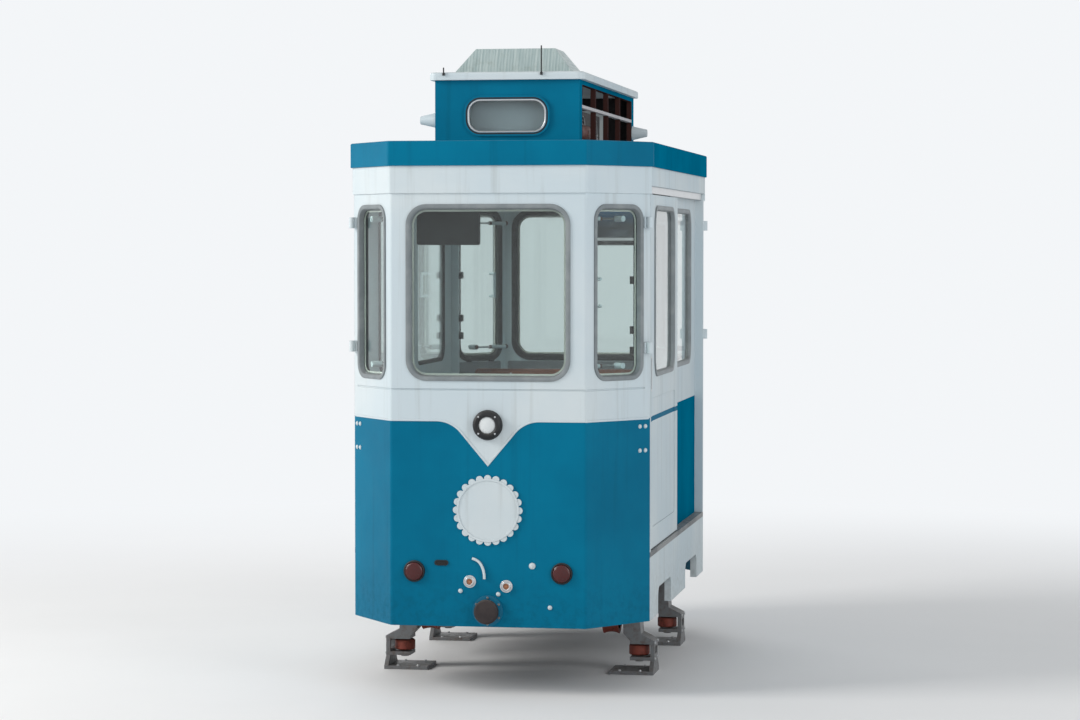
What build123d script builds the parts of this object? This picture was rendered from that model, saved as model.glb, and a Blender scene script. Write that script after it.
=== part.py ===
"""A four-seat tourist rail capsule that runs on a pair of tube rails.

X runs across the car, Y along it with one end facing -Y, and Z up from the surface that it stands on.
Both ends are alike, and so are both sides when the car is turned half round about Z.
"""

import os
from math import cos, hypot, radians, sin, sqrt

from build123d import *

os.makedirs("parts", exist_ok=True)

# Rails and running height
tube_diameter = 200
claw_thickness = 20
claw_gap = 15
body_above_tube = 150
rail_inset = 310

# Body plan
body_length = 3440
body_width = 1700
corner_across = 300
corner_along = 410
corner_round = 22
wall = 50
side_recess = 52
side_wall = 40
corner_post = 34

# Body heights above the lower edge of the shell
floor_height = 387
floor_thickness = 30
border_height = 1144
dip_depth = 244
dip_half_width = 290
dip_arc_radius = 183
dip_slope = 50
sill_height = 1367
window_height = 968
header_height = 2445
header_step_height = 2400
header_step = 9
band_bottom = 2552
band_top = 2690
moulding_height = 1310
moulding_gap = 9
moulding_depth = 5
moulding_margin = 40

# Windows and their seals
end_window_width = 915
corner_window_width = 380
side_window_width = 900
side_window_place = 610
window_corner = 110
corner_window_corner = 85
seal_width = 18
seal_lip = 5
pane = 8
fit = 0.3

# Doors
leaf_thickness = 36
leaf_gap = 6
leaf_overlap = 16
leaf_panel_margin = 120
leaf_panel_depth = 5
leaf_panel_corner = 40
handle_height = 1000
handle_length = 180
handle_width = 40
handle_depth = 16
handle_from_edge = 75
track_width = 36
track_height = 40
track_wall = 4
track_slot = 18
hanger_stem = 8
hanger_length = 90
hanger_head_width = 24
hanger_head_height = 18
hanger_spacing = 900

# Side skirts with an arch over each bogie
skirt_wall = 40
arch_length = 600
arch_height = 150
arch_corner = 60

# Roof
band_overhang = 20
band_thickness = 60
band_round = 10
roof_pan_thickness = 40
roof_pan_drop = 30
clerestory_width = 837
clerestory_length = 2240
clerestory_wall = 30
clerestory_top = 3055
vent_end_margin = 108
vent_low_margin = 40
vent_high_margin = 26
vent_rail = 18
vent_rail_height = 205
vent_post = 22
vent_post_count = 3
sign_width = 455
sign_height = 190
sign_corner = 75
sign_above_roof = 2850
sign_frame = 20
sign_frame_depth = 14
plate_thickness = 45
plate_overhang = 30
plate_corner = 40
plate_round = 15
cover_height = 150
cover_length = 460
cover_inset = 66
cover_setback = 200
cover_end_slope = 75
cover_side_slope = 120
unit_width = 520
unit_length = 1500
unit_height = 260
unit_corner = 50
fan_diameter = 190
fan_hub_diameter = 80
fan_depth = 30
fan_count = 3
horn_diameter = 90
horn_tip_diameter = 46
horn_length = 95
horn_from_end = 56
horn_height = 170

# End fittings
headlight_height = 1120
headlight_diameter = 167
headlight_lens = 92
headlight_depth = 40
headlight_crown = 14
tail_lamp_height = 304
tail_lamp_spacing = 830
tail_lamp_diameter = 120
tail_lamp_depth = 30
tail_lamp_rim = 9
tail_lamp_base = 15
plate_height = 648
plate_radius = 176
plate_face_thickness = 8
plate_rim = 12
plate_rim_depth = 3
scallop_radius = 20
scallop_count = 24
buffer_height = 90
buffer_diameter = 137
buffer_flange = 12
buffer_flange_diameter = 170
buffer_reach = 70
buffer_neck_diameter = 90
socket_diameter = 70
socket_rim = 12
socket_depth = 16
slot_width = 78
slot_height = 30
slot_depth = 6
slot_corner = 10
stud_diameter = 26
stud_depth = 9
hook_thickness = 16
# Places of the small apron fittings: across the end, then above the lower edge of the shell
socket_places = [(-102, 251), (104, 228)]
stud_places = [(-155, 198), (58, 183), (249, 343), (348, 114)]
slot_across = -262
slot_above = 353
hook_places = [(-87, 380), (-36, 345), (-18, 267)]
hinge_heights = (1540, 2240)
hinge_width = 54
hinge_height = 62
hinge_base = 14
hinge_corner = 9
hinge_knuckle_diameter = 38
hinge_knuckle_rise = 12
hinge_from_edge = 6
corner_stud_heights = (965, 1100)
corner_stud_spacing = 44
corner_stud_from_edge = 62

# Corner window gear inside
strut_sleeve_diameter = 24
strut_rod_diameter = 11
strut_length = 270
strut_sleeve_length = 150
strut_from_window_edge = 75
strut_stand_off = 26
strut_foot = 34
grip_height = 150
grip_reach = 46
grip_diameter = 18

# Benches, shelves and consoles
bench_width = 1300
bench_back_setback = 350
plank = 28
plank_corner = 26
back_plank_height = 155
back_plank_gap = 28
back_plank_count = 3
back_top = 920
seat_plank_width = 92
seat_plank_gap = 16
seat_plank_count = 4
seat_height = 425
bracket_spacing = 820
bracket_width = 44
bracket_thickness = 14
bracket_leg_slope = 60
bracket_foot = 70
shelf_thickness = 25
console_depth = 450
console_height = 250
console_lip = 170
control_panel_width = 300
control_panel_height = 105
control_panel_depth = 18
control_panel_offset = 235
control_panel_corner = 14
ceiling_lamp_diameter = 130
ceiling_lamp_depth = 10
screen_width = 360
screen_height = 280
screen_thickness = 42
screen_corner = 12
screen_inset = 10
screen_from_face = 30
screen_bezel = 14
screen_glass_depth = 2
hanger_plate_width = 60
hanger_plate_thickness = 20
hanger_plate_height = 45

# Underframe and bogies
sole_bar_spacing = 900
sole_bar_width = 70
sole_bar_height = 130
sole_channel_depth = 45
sole_channel_wall = 12
cross_bar_width = 90
cross_bar_from_end = 45
bogie_spacing = 1300
bolster_width = 180
centre_plate_diameter = 220
kingpin_diameter = 60
pin_clearance = 0.5
beam_width = 130
beam_height = 80
beam_end_inset = 150
beam_belly = 30
beam_belly_length = 520
beam_slope_length = 110
wheel_diameter = 230
wheel_width = 90
wheel_clearance = 15
tread_clearance = 6
hub_diameter = 120
hub_recess = 18
rim_thickness = 30
axle_diameter = 60
axle_box_width = 60
axle_box_inset = 110
axle_box_drop = 50
axle_box_cap = 96
axle_box_cap_depth = 10
carrier_width = 150
carrier_plate = 20
carrier_inset = 50
carrier_web = 25
carrier_window_length = 100
carrier_window_height = 46
carrier_window_corner = 14
carrier_claw_length = 260
carrier_gusset = 55
carrier_shoulder = 60
guide_wheel_diameter = 120
guide_wheel_height = 60
guide_wheel_rim = 14
guide_wheel_chamfer = 6
guide_hub_diameter = 56
guide_hub_recess = 8
guide_pin_diameter = 30
guide_pin_head = 48
guide_pin_head_height = 12
guide_tube_gap = 1
guide_side_gap = 8
motor_length = 220
motor_width = 380
motor_height = 200
motor_corner = 30


# Worked-out places
tube_bottom = claw_thickness + claw_gap
tube_centre = tube_bottom + tube_diameter / 2
tube_top = tube_bottom + tube_diameter
base = tube_top + body_above_tube
floor_top = base + floor_height
floor_bottom = floor_top - floor_thickness
half_length = body_length / 2
half_width = body_width / 2
rail_x = half_width - rail_inset
side_end = half_length - corner_along
end_flat = half_width - corner_across
side_face = half_width - side_recess
side_inner = side_face - side_wall
border = base + border_height
window_middle = base + sill_height + window_height / 2
header = base + header_height
header_step_low = base + header_step_height
band_low = base + band_bottom
band_high = base + band_top
roof_pan_top = band_high - roof_pan_drop
roof_pan_low = roof_pan_top - roof_pan_thickness
clerestory_high = base + clerestory_top
plate_high = clerestory_high + plate_thickness
sign_middle = base + sign_above_roof
inner_end = half_length - wall
chamfer_length = hypot(corner_across, corner_along)
chamfer_turn = (corner_along / chamfer_length, corner_across / chamfer_length)
middle_foot = (Align.CENTER, Align.CENTER, Align.MIN)

ends = [("front", -1), ("rear", 1)]
end_signs = (-1, 1)
sides = (-1, 1)
corners = [(side, end) for end in end_signs for side in sides]
# The door leaf of each side stands beside the end named here: +X beside -Y, and -X beside +Y.
door_end = {1: -1, -1: 1}


def plan(inset=0):
    """Corner points of the eight-sided body plan, moved inwards by inset."""
    a = half_width - inset
    b = half_length - inset
    reach = corner_along * half_width + corner_across * side_end - inset * chamfer_length
    y = (reach - corner_along * a) / corner_across
    x = (reach - corner_across * b) / corner_along
    return [(x, -b), (a, -y), (a, y), (x, b), (-x, b), (-a, y), (-a, -y), (-x, -b)]


def chamfer_plane(side, end):
    """Plane on the outer face of a corner: local x across the corner, y up and z outwards."""
    middle_x = side * (half_width - corner_across / 2)
    middle_y = end * (half_length - corner_along / 2)
    outward = Vector(side * chamfer_turn[0], end * chamfer_turn[1], 0)
    across = Vector(0, 0, 1).cross(outward)
    return Plane(origin=(middle_x, middle_y, 0), x_dir=across, z_dir=outward)


def end_plane(end):
    """Plane on the flat face of one end, with y up and z outwards."""
    return Plane(origin=(0, end * half_length, 0), x_dir=(-end, 0, 0), z_dir=(0, end, 0))


def side_plane(side, x):
    """Upright plane along one side at distance x from the middle, with y up and z outwards."""
    return Plane(origin=(side * x, 0, 0), x_dir=(0, side, 0), z_dir=(side, 0, 0))


def turning_plane(end, x, z):
    """Plane for a profile turned about an end fitting's own axis: local x is the radius, y outwards."""
    return Plane(origin=(-end * x, end * half_length, z), x_dir=(end, 0, 0), z_dir=(0, 0, 1))


def fitting_axis(end, x, z):
    """Axis of a round fitting on one end, pointing outwards."""
    return Axis((-end * x, end * half_length, z), (0, end, 0))


def finish(builder, name):
    """Labels a finished piece and writes it."""
    builder.part.label = name
    export_step(builder.part, f"parts/{name}.step")


# Border between the blue apron and the white mask: level, then an arc and a slope to a point
with BuildSketch(Plane.XZ) as below_border:
    with BuildLine():
        arc_end_x = dip_half_width - dip_arc_radius * sin(radians(dip_slope))
        arc_end_z = border - dip_arc_radius * (1 - cos(radians(dip_slope)))
        far_x = half_width + wall
        Line((far_x, border), (dip_half_width, border))
        TangentArc((dip_half_width, border), (arc_end_x, arc_end_z), tangent=(-1, 0))
        Polyline((arc_end_x, arc_end_z), (0, border - dip_depth), (-arc_end_x, arc_end_z))
        TangentArc((-dip_half_width, border), (-arc_end_x, arc_end_z), tangent=(1, 0))
        Polyline(
            (-dip_half_width, border),
            (-far_x, border),
            (-far_x, base),
            (far_x, base),
            (far_x, border),
        )
    make_face()

for name, end in ends:
    with BuildPart() as end_zone:
        with Locations((0, end * (side_end + half_length) / 2, base)):
            Box(2 * far_x, corner_along + 2 * wall, band_bottom, align=middle_foot)
        with Locations((0, end * (side_end - wall), base)):
            Box(2 * far_x, 2 * wall, band_bottom, align=middle_foot, mode=Mode.SUBTRACT)

    with BuildPart() as apron:
        with BuildSketch(Plane.XY.offset(base)) as apron_plan:
            Polygon(*plan(), align=None)
            fillet(apron_plan.vertices(), corner_round)
            Polygon(*plan(wall), align=None, mode=Mode.SUBTRACT)
        extrude(amount=border_height)
        add(end_zone.part, mode=Mode.INTERSECT)
        extrude(below_border.sketch, amount=body_length, both=True, mode=Mode.INTERSECT)
    finish(apron, f"{name}_apron")

    # Shadow line under the windows, right across the end and its chamfers
    with BuildPart() as moulding_groove:
        with BuildSketch(Plane.XY.offset(base + moulding_height)):
            Polygon(*plan(-moulding_depth), align=None)
            Polygon(*plan(moulding_depth), align=None, mode=Mode.SUBTRACT)
        extrude(amount=moulding_gap)
        with Locations((0, end * (side_end + moulding_margin + half_length) / 2, base + moulding_height)):
            Box(
                body_width,
                corner_along - moulding_margin + 2 * moulding_depth,
                moulding_gap,
                align=middle_foot,
                mode=Mode.INTERSECT,
            )

    with BuildPart() as mask:
        with BuildSketch(Plane.XY.offset(border - dip_depth)) as mask_plan:
            Polygon(*plan(), align=None)
            fillet(mask_plan.vertices(), corner_round)
            Polygon(*plan(wall), align=None, mode=Mode.SUBTRACT)
        extrude(amount=band_low - border + dip_depth)
        with BuildSketch(Plane.XY.offset(header_step_low)) as header_plan:
            Polygon(*plan(-header_step), align=None)
            fillet(header_plan.vertices(), corner_round)
            Polygon(*plan(wall), align=None, mode=Mode.SUBTRACT)
        extrude(amount=band_low - header_step_low)
        add(end_zone.part, mode=Mode.INTERSECT)
        extrude(below_border.sketch, amount=body_length, both=True, mode=Mode.SUBTRACT)
        with BuildSketch(end_plane(end)):
            with Locations((0, window_middle)):
                RectangleRounded(end_window_width, window_height, window_corner)
        extrude(amount=-2 * wall, mode=Mode.SUBTRACT)
        for side in sides:
            with BuildSketch(chamfer_plane(side, end)):
                with Locations((0, window_middle)):
                    RectangleRounded(corner_window_width, window_height, corner_window_corner)
            extrude(amount=-2 * wall, mode=Mode.SUBTRACT)
        add(moulding_groove.part, mode=Mode.SUBTRACT)
    finish(mask, f"{name}_mask")

# Windows that don't open: plane of the outer face, place along it, width, corner radius, wall depth
end_windows = [(end_plane(end), 0, end_window_width, window_corner, wall) for end in end_signs]
corner_windows = []
for side, end in corners:
    corner_windows.append((chamfer_plane(side, end), 0, corner_window_width, corner_window_corner, wall))
side_windows = []
for side in sides:
    face = side_plane(side, side_face)
    side_windows.append((face, side_window_place, side_window_width, window_corner, side_wall))

with BuildPart() as window_seals:
    for face, place, width, radius, depth in end_windows + corner_windows + side_windows:
        with BuildSketch(face.offset(seal_lip)):
            with Locations((place, window_middle)):
                RectangleRounded(width - 2 * fit, window_height - 2 * fit, radius)
                RectangleRounded(
                    width - 2 * seal_width,
                    window_height - 2 * seal_width,
                    radius - seal_width,
                    mode=Mode.SUBTRACT,
                )
        extrude(amount=-(depth + 2 * seal_lip))
finish(window_seals, "window_seals")

pane_sets = {"end_panes": end_windows, "corner_panes": corner_windows, "side_panes": side_windows}
for name, windows in pane_sets.items():
    with BuildPart() as panes:
        for face, place, width, radius, depth in windows:
            with BuildSketch(face.offset((pane - depth) / 2)):
                with Locations((place, window_middle)):
                    RectangleRounded(
                        width - 2 * seal_width - 2 * fit,
                        window_height - 2 * seal_width - 2 * fit,
                        radius - seal_width,
                    )
            extrude(amount=-pane)
    finish(panes, name)

# Side walls: the fixed half beside the door opening, and the frame over and round both halves
fixed_length = side_end - corner_post
with BuildPart() as side_panels:
    for side in sides:
        fixed_end = -door_end[side]
        with Locations((side * (side_face - side_wall / 2), fixed_end * fixed_length / 2, floor_top)):
            Box(side_wall, fixed_length, border - floor_top, align=middle_foot)
finish(side_panels, "side_panels")

with BuildPart() as side_frames:
    for side in sides:
        fixed_end = -door_end[side]
        post_x = side * (half_width + side_inner) / 2
        post_depth = half_width - side_inner
        with Locations((side * (side_face - side_wall / 2), fixed_end * fixed_length / 2, border)):
            Box(side_wall, fixed_length, band_low - border, align=middle_foot)
        with Locations((post_x + side * header_step / 2, 0, header)):
            Box(post_depth + header_step, 2 * side_end, band_low - header, align=middle_foot)
        with Locations(*[(post_x, end * (side_end - corner_post / 2), floor_top) for end in end_signs]):
            Box(post_depth, corner_post, header - floor_top, align=middle_foot)
        with BuildSketch(side_plane(side, side_face)):
            with Locations((side_window_place, window_middle)):
                RectangleRounded(side_window_width, window_height, window_corner)
        extrude(amount=-2 * side_wall, mode=Mode.SUBTRACT)
finish(side_frames, "side_frames")

with BuildPart() as side_skirts:
    for side in sides:
        with Locations((side * (half_width - skirt_wall / 2), 0, base)):
            Box(skirt_wall, 2 * side_end, floor_bottom - base, align=middle_foot)
        with BuildSketch(side_plane(side, half_width)):
            with Locations((-bogie_spacing / 2, base), (bogie_spacing / 2, base)):
                RectangleRounded(arch_length, 2 * arch_height, arch_corner)
        extrude(amount=-2 * skirt_wall, mode=Mode.SUBTRACT)
finish(side_skirts, "side_skirts")

# Floor pan, with a sill ledge under each door track
with BuildPart() as floor_pan:
    with BuildSketch(Plane.XY.offset(floor_bottom)):
        Polygon(*plan(wall), align=None)
        Rectangle(body_width, 2 * side_end)
    extrude(amount=floor_thickness)
finish(floor_pan, "floor_pan")

# Door leaves hanging from rollers in a slotted track
leaf_length = side_end - corner_post - leaf_gap + leaf_overlap
leaf_face = side_face + leaf_gap + leaf_thickness
leaf_middle_x = leaf_face - leaf_thickness / 2
leaf_low = floor_top + leaf_gap
track_low = header - track_height
leaf_high = track_low - leaf_gap
hanger_low = track_low + track_wall + fit
leaf_panel_low = leaf_low + leaf_panel_margin
leaf_panel_high = base + sill_height - leaf_panel_margin

with BuildPart() as door_tracks:
    for side in sides:
        with BuildSketch(Plane(origin=(side * leaf_middle_x, 0, 0), x_dir=(1, 0, 0), z_dir=(0, -1, 0))):
            with Locations((0, track_low + track_height / 2)):
                Rectangle(track_width, track_height)
                Rectangle(
                    track_width - 2 * track_wall,
                    track_height - 2 * track_wall,
                    mode=Mode.SUBTRACT,
                )
            with Locations((0, track_low)):
                Rectangle(track_slot, 2 * track_wall + fit, mode=Mode.SUBTRACT)
        extrude(amount=fixed_length, both=True)
finish(door_tracks, "door_tracks")

for name, side in (("right", 1), ("left", -1)):
    closed_y = door_end[side] * (leaf_length / 2 - leaf_overlap)
    leaf_x = side * leaf_middle_x
    outer_face = side_plane(side, leaf_face)
    leaf_place = -leaf_length / 2 + leaf_overlap
    with BuildPart() as leaf:
        with Locations((leaf_x, closed_y, leaf_low)):
            Box(leaf_thickness, leaf_length, leaf_high - leaf_low, align=middle_foot)
        with BuildSketch(outer_face):
            with Locations((-side_window_place, window_middle)):
                RectangleRounded(side_window_width, window_height, window_corner)
        extrude(amount=-leaf_thickness, mode=Mode.SUBTRACT)
        with BuildSketch(outer_face):
            with Locations((leaf_place, (leaf_panel_low + leaf_panel_high) / 2)):
                RectangleRounded(
                    leaf_length - 2 * leaf_panel_margin,
                    leaf_panel_high - leaf_panel_low,
                    leaf_panel_corner,
                )
        extrude(amount=-leaf_panel_depth, mode=Mode.SUBTRACT)
        with BuildSketch(outer_face):
            with Locations((leaf_place - leaf_length / 2 + handle_from_edge, floor_top + handle_height)):
                RectangleRounded(handle_width, handle_length, handle_width / 2 - fit)
        extrude(amount=-handle_depth, mode=Mode.SUBTRACT)
        for offset_y in (-hanger_spacing / 2, hanger_spacing / 2):
            with Locations((leaf_x, closed_y + offset_y, leaf_high)):
                Box(
                    hanger_stem,
                    hanger_length,
                    hanger_low + hanger_head_height - leaf_high,
                    align=middle_foot,
                )
            with Locations((leaf_x, closed_y + offset_y, hanger_low)):
                Box(hanger_head_width, hanger_length, hanger_head_height, align=middle_foot)
    finish(leaf, f"{name}_door_leaf")

    with BuildPart() as leaf_seal:
        with BuildSketch(outer_face.offset(seal_lip / 2)):
            with Locations((-side_window_place, window_middle)):
                RectangleRounded(side_window_width - 2 * fit, window_height - 2 * fit, window_corner)
                RectangleRounded(
                    side_window_width - 2 * seal_width,
                    window_height - 2 * seal_width,
                    window_corner - seal_width,
                    mode=Mode.SUBTRACT,
                )
        extrude(amount=-(leaf_thickness + seal_lip / 2))
    finish(leaf_seal, f"{name}_door_seal")

    with BuildPart() as leaf_pane:
        with BuildSketch(outer_face.offset((pane - leaf_thickness) / 2)):
            with Locations((-side_window_place, window_middle)):
                RectangleRounded(
                    side_window_width - 2 * seal_width - 2 * fit,
                    window_height - 2 * seal_width - 2 * fit,
                    window_corner - seal_width,
                )
        extrude(amount=-pane)
    finish(leaf_pane, f"{name}_door_pane")

# Roof: blue band, pan, clerestory with its sign windows, thin plate and pale cover
with BuildPart() as roof_band:
    with BuildSketch(Plane.XY.offset(band_low)) as band_plan:
        Polygon(*plan(-band_overhang), align=None)
        fillet(band_plan.vertices(), corner_round)
        Polygon(*plan(band_thickness - band_overhang), align=None, mode=Mode.SUBTRACT)
    extrude(amount=band_high - band_low)
    top_face = roof_band.faces().sort_by(Axis.Z)[-1]
    fillet(top_face.outer_wire().edges(), band_round)
finish(roof_band, "roof_band")

with BuildPart() as roof_pan:
    with BuildSketch(Plane.XY.offset(roof_pan_low)):
        Polygon(*plan(band_thickness - band_overhang), align=None)
    extrude(amount=roof_pan_thickness)
finish(roof_pan, "roof_pan")

vent_length = clerestory_length - 2 * vent_end_margin
vent_low = roof_pan_top + vent_low_margin
vent_high = clerestory_high - vent_high_margin
post_step = vent_length / (vent_post_count + 1)
with BuildPart() as clerestory:
    with BuildSketch(Plane.XY.offset(roof_pan_top)):
        Rectangle(clerestory_width, clerestory_length)
        Rectangle(
            clerestory_width - 2 * clerestory_wall,
            clerestory_length - 2 * clerestory_wall,
            mode=Mode.SUBTRACT,
        )
    extrude(amount=clerestory_high - roof_pan_top)
    with BuildSketch(Plane.XZ):
        with Locations((0, sign_middle)):
            RectangleRounded(sign_width, sign_height, sign_corner)
    extrude(amount=clerestory_length, both=True, mode=Mode.SUBTRACT)
    with BuildSketch(Plane.YZ):
        with Locations((0, (vent_low + vent_high) / 2)):
            Rectangle(vent_length, vent_high - vent_low)
            with GridLocations(post_step, 0, vent_post_count, 1):
                Rectangle(vent_post, vent_high - vent_low, mode=Mode.SUBTRACT)
        with Locations((0, vent_low + vent_rail_height)):
            Rectangle(vent_length, vent_rail, mode=Mode.SUBTRACT)
    extrude(amount=clerestory_width, both=True, mode=Mode.SUBTRACT)
    for end in end_signs:
        with BuildSketch(end_plane(end).offset(clerestory_length / 2 - half_length)):
            with Locations((0, sign_middle)):
                RectangleRounded(
                    sign_width + 2 * sign_frame,
                    sign_height + 2 * sign_frame,
                    sign_corner + sign_frame,
                )
                RectangleRounded(sign_width, sign_height, sign_corner, mode=Mode.SUBTRACT)
        extrude(amount=sign_frame_depth)
finish(clerestory, "clerestory")


with BuildPart() as sign_panes:
    for end in end_signs:
        pane_y = end * (clerestory_length - clerestory_wall) / 2
        with BuildSketch(Plane(origin=(0, pane_y, 0), x_dir=(1, 0, 0), z_dir=(0, -1, 0))):
            with Locations((0, sign_middle)):
                RectangleRounded(sign_width - 2 * fit, sign_height - 2 * fit, sign_corner)
        extrude(amount=pane / 2, both=True)
finish(sign_panes, "sign_panes")

with BuildPart() as roof_unit:
    with BuildSketch(Plane.XY.offset(roof_pan_top)):
        RectangleRounded(unit_width, unit_length, unit_corner)
    extrude(amount=unit_height)
    for side in sides:
        with BuildSketch(side_plane(side, unit_width / 2)):
            with Locations((0, roof_pan_top + unit_height / 2)):
                with GridLocations(unit_length / fan_count, 0, fan_count, 1):
                    Circle(fan_diameter / 2)
                    Circle(fan_hub_diameter / 2, mode=Mode.SUBTRACT)
        extrude(amount=-fan_depth, mode=Mode.SUBTRACT)
finish(roof_unit, "roof_unit")

with BuildPart() as roof_plate:
    with BuildSketch(Plane.XY.offset(clerestory_high)):
        RectangleRounded(
            clerestory_width + 2 * plate_overhang,
            clerestory_length + 2 * plate_overhang,
            plate_corner,
        )
    extrude(amount=plate_thickness)
    fillet(roof_plate.faces().sort_by(Axis.Z)[-1].outer_wire().edges(), plate_round)
finish(roof_plate, "roof_plate")

cover_y = (cover_length - clerestory_length) / 2 + cover_setback
cover_width = clerestory_width - 2 * cover_inset
with BuildPart() as roof_cover:
    with BuildSketch(Plane.XY.offset(plate_high)):
        with Locations((0, cover_y)):
            Rectangle(cover_width, cover_length)
    with BuildSketch(Plane.XY.offset(plate_high + cover_height)):
        with Locations((0, cover_y)):
            Rectangle(cover_width - 2 * cover_side_slope, cover_length - 2 * cover_end_slope)
    loft()
finish(roof_cover, "roof_cover")

# A small white horn on one side wall of the clerestory, near each end
with BuildPart() as roof_horns:
    for end in end_signs:
        horn_y = end * (clerestory_length / 2 - horn_from_end)
        horn_z = roof_pan_top + horn_height
        wall_x = end * (clerestory_width / 2 + fit)
        foot = Plane(origin=(wall_x, horn_y, horn_z), x_dir=(0, 1, 0), z_dir=(end, 0, 0))
        with BuildSketch(foot):
            Circle(horn_diameter / 2)
        with BuildSketch(foot.offset(horn_length)):
            Circle(horn_tip_diameter / 2)
        loft()
finish(roof_horns, "roof_horns")

# Headlights: a rounded bezel round a crowned lens
with BuildPart() as headlights:
    for end in end_signs:
        with BuildSketch(turning_plane(end, 0, base + headlight_height)):
            with BuildLine():
                rim = headlight_diameter / 2
                lens = headlight_lens / 2
                bead = (rim - lens) / 2
                Polyline((0, fit), (rim, fit), (rim, headlight_depth - bead))
                ThreePointArc(
                    (rim, headlight_depth - bead),
                    (lens + bead, headlight_depth),
                    (lens, headlight_depth - bead),
                )
                crown = headlight_depth - bead + headlight_crown
                TangentArc((0, crown), (lens, headlight_depth - bead), tangent=(1, 0))
                Line((0, crown), (0, fit))
            make_face()
        revolve(axis=fitting_axis(end, 0, base + headlight_height))
finish(headlights, "headlights")

with BuildPart() as tail_lamps:
    for end in end_signs:
        for x in (-tail_lamp_spacing / 2, tail_lamp_spacing / 2):
            with BuildSketch(turning_plane(end, x, base + tail_lamp_height)):
                with BuildLine():
                    rim = tail_lamp_diameter / 2
                    lens = rim - tail_lamp_rim
                    Polyline(
                        (0, fit),
                        (rim, fit),
                        (rim, tail_lamp_base),
                        (lens, tail_lamp_base),
                    )
                    TangentArc((0, tail_lamp_depth), (lens, tail_lamp_base), tangent=(1, 0))
                    Line((0, tail_lamp_depth), (0, fit))
                make_face()
            revolve(axis=fitting_axis(end, x, base + tail_lamp_height))
finish(tail_lamps, "tail_lamps")

# Blank white plate with a scalloped edge and a raised ring
with BuildPart() as round_plates:
    for end in end_signs:
        with BuildSketch(end_plane(end).offset(fit)):
            with Locations((0, base + plate_height)):
                Circle(plate_radius)
                with PolarLocations(plate_radius, scallop_count):
                    Circle(scallop_radius)
        extrude(amount=plate_face_thickness)
        with BuildSketch(end_plane(end).offset(fit + plate_face_thickness)):
            with Locations((0, base + plate_height)):
                Circle(plate_radius)
                Circle(plate_radius - plate_rim, mode=Mode.SUBTRACT)
        extrude(amount=plate_rim_depth)
finish(round_plates, "round_plates")

with BuildPart() as buffers:
    for end in end_signs:
        with BuildSketch(turning_plane(end, 0, base + buffer_height)):
            with BuildLine():
                neck = buffer_neck_diameter / 2
                head = buffer_diameter / 2
                flange = buffer_flange_diameter / 2
                Polyline(
                    (0, fit),
                    (flange, fit),
                    (flange, buffer_flange),
                    (neck, buffer_flange),
                    (neck, buffer_reach / 2),
                    (head, buffer_reach / 2 + buffer_flange),
                    (head, buffer_reach - buffer_flange),
                )
                RadiusArc(
                    (head, buffer_reach - buffer_flange),
                    (head - buffer_flange, buffer_reach),
                    -buffer_flange,
                )
                Polyline((head - buffer_flange, buffer_reach), (0, buffer_reach), (0, fit))
            make_face()
        revolve(axis=fitting_axis(end, 0, base + buffer_height))
finish(buffers, "buffers")

# Sockets, studs, a slot and a hook on each apron, and stud pairs on its corners
with BuildLine(Plane.XY) as hook_arc:
    ThreePointArc(*[(x, base + height) for x, height in hook_places])
with BuildPart() as apron_fittings:
    for end in end_signs:
        face = end_plane(end).offset(fit)
        with BuildSketch(face):
            for x, height in socket_places:
                with Locations((x, base + height)):
                    Circle(socket_diameter / 2)
        extrude(amount=socket_depth)
        with BuildSketch(face.offset(socket_depth)):
            for x, height in socket_places:
                with Locations((x, base + height)):
                    Circle(socket_diameter / 2 - socket_rim)
        extrude(amount=-socket_depth / 2, mode=Mode.SUBTRACT)
        with BuildSketch(face):
            for x, height in stud_places:
                with Locations((x, base + height)):
                    Circle(stud_diameter / 2)
        extrude(amount=stud_depth)
        with BuildSketch(face):
            with Locations((slot_across, base + slot_above)):
                RectangleRounded(slot_width, slot_height, slot_corner)
        extrude(amount=slot_depth)
        with BuildSketch(face):
            SlotArc(hook_arc.edges()[0], hook_thickness)
        extrude(amount=hook_thickness)
    for side, end in corners:
        studs_x = -side * end * (chamfer_length / 2 - corner_stud_from_edge)
        with BuildSketch(chamfer_plane(side, end).offset(fit)):
            for height in corner_stud_heights:
                with Locations((studs_x, base + height)):
                    with GridLocations(corner_stud_spacing, 0, 2, 1):
                        Circle(stud_diameter / 2)
        extrude(amount=stud_depth)
finish(apron_fittings, "apron_fittings")

# Outside hinges of the corner windows: a base with an upright knuckle
with BuildPart() as corner_hinges:
    for side, end in corners:
        hinge_x = -side * end * (chamfer_length / 2 - hinge_width / 2 - hinge_from_edge)
        face = chamfer_plane(side, end).offset(fit)
        with BuildSketch(face):
            with Locations(*[(hinge_x, base + height) for height in hinge_heights]):
                RectangleRounded(hinge_width, hinge_height, hinge_corner)
        extrude(amount=hinge_base)
        for height in hinge_heights:
            knuckle_foot = face.offset(hinge_base + hinge_knuckle_rise).from_local_coords(
                (hinge_x, base + height - hinge_height / 2)
            )
            with BuildSketch(Plane(origin=knuckle_foot, x_dir=face.x_dir, z_dir=(0, 0, 1))):
                Circle(hinge_knuckle_diameter / 2)
            extrude(amount=hinge_height)
finish(corner_hinges, "corner_hinges")

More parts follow.
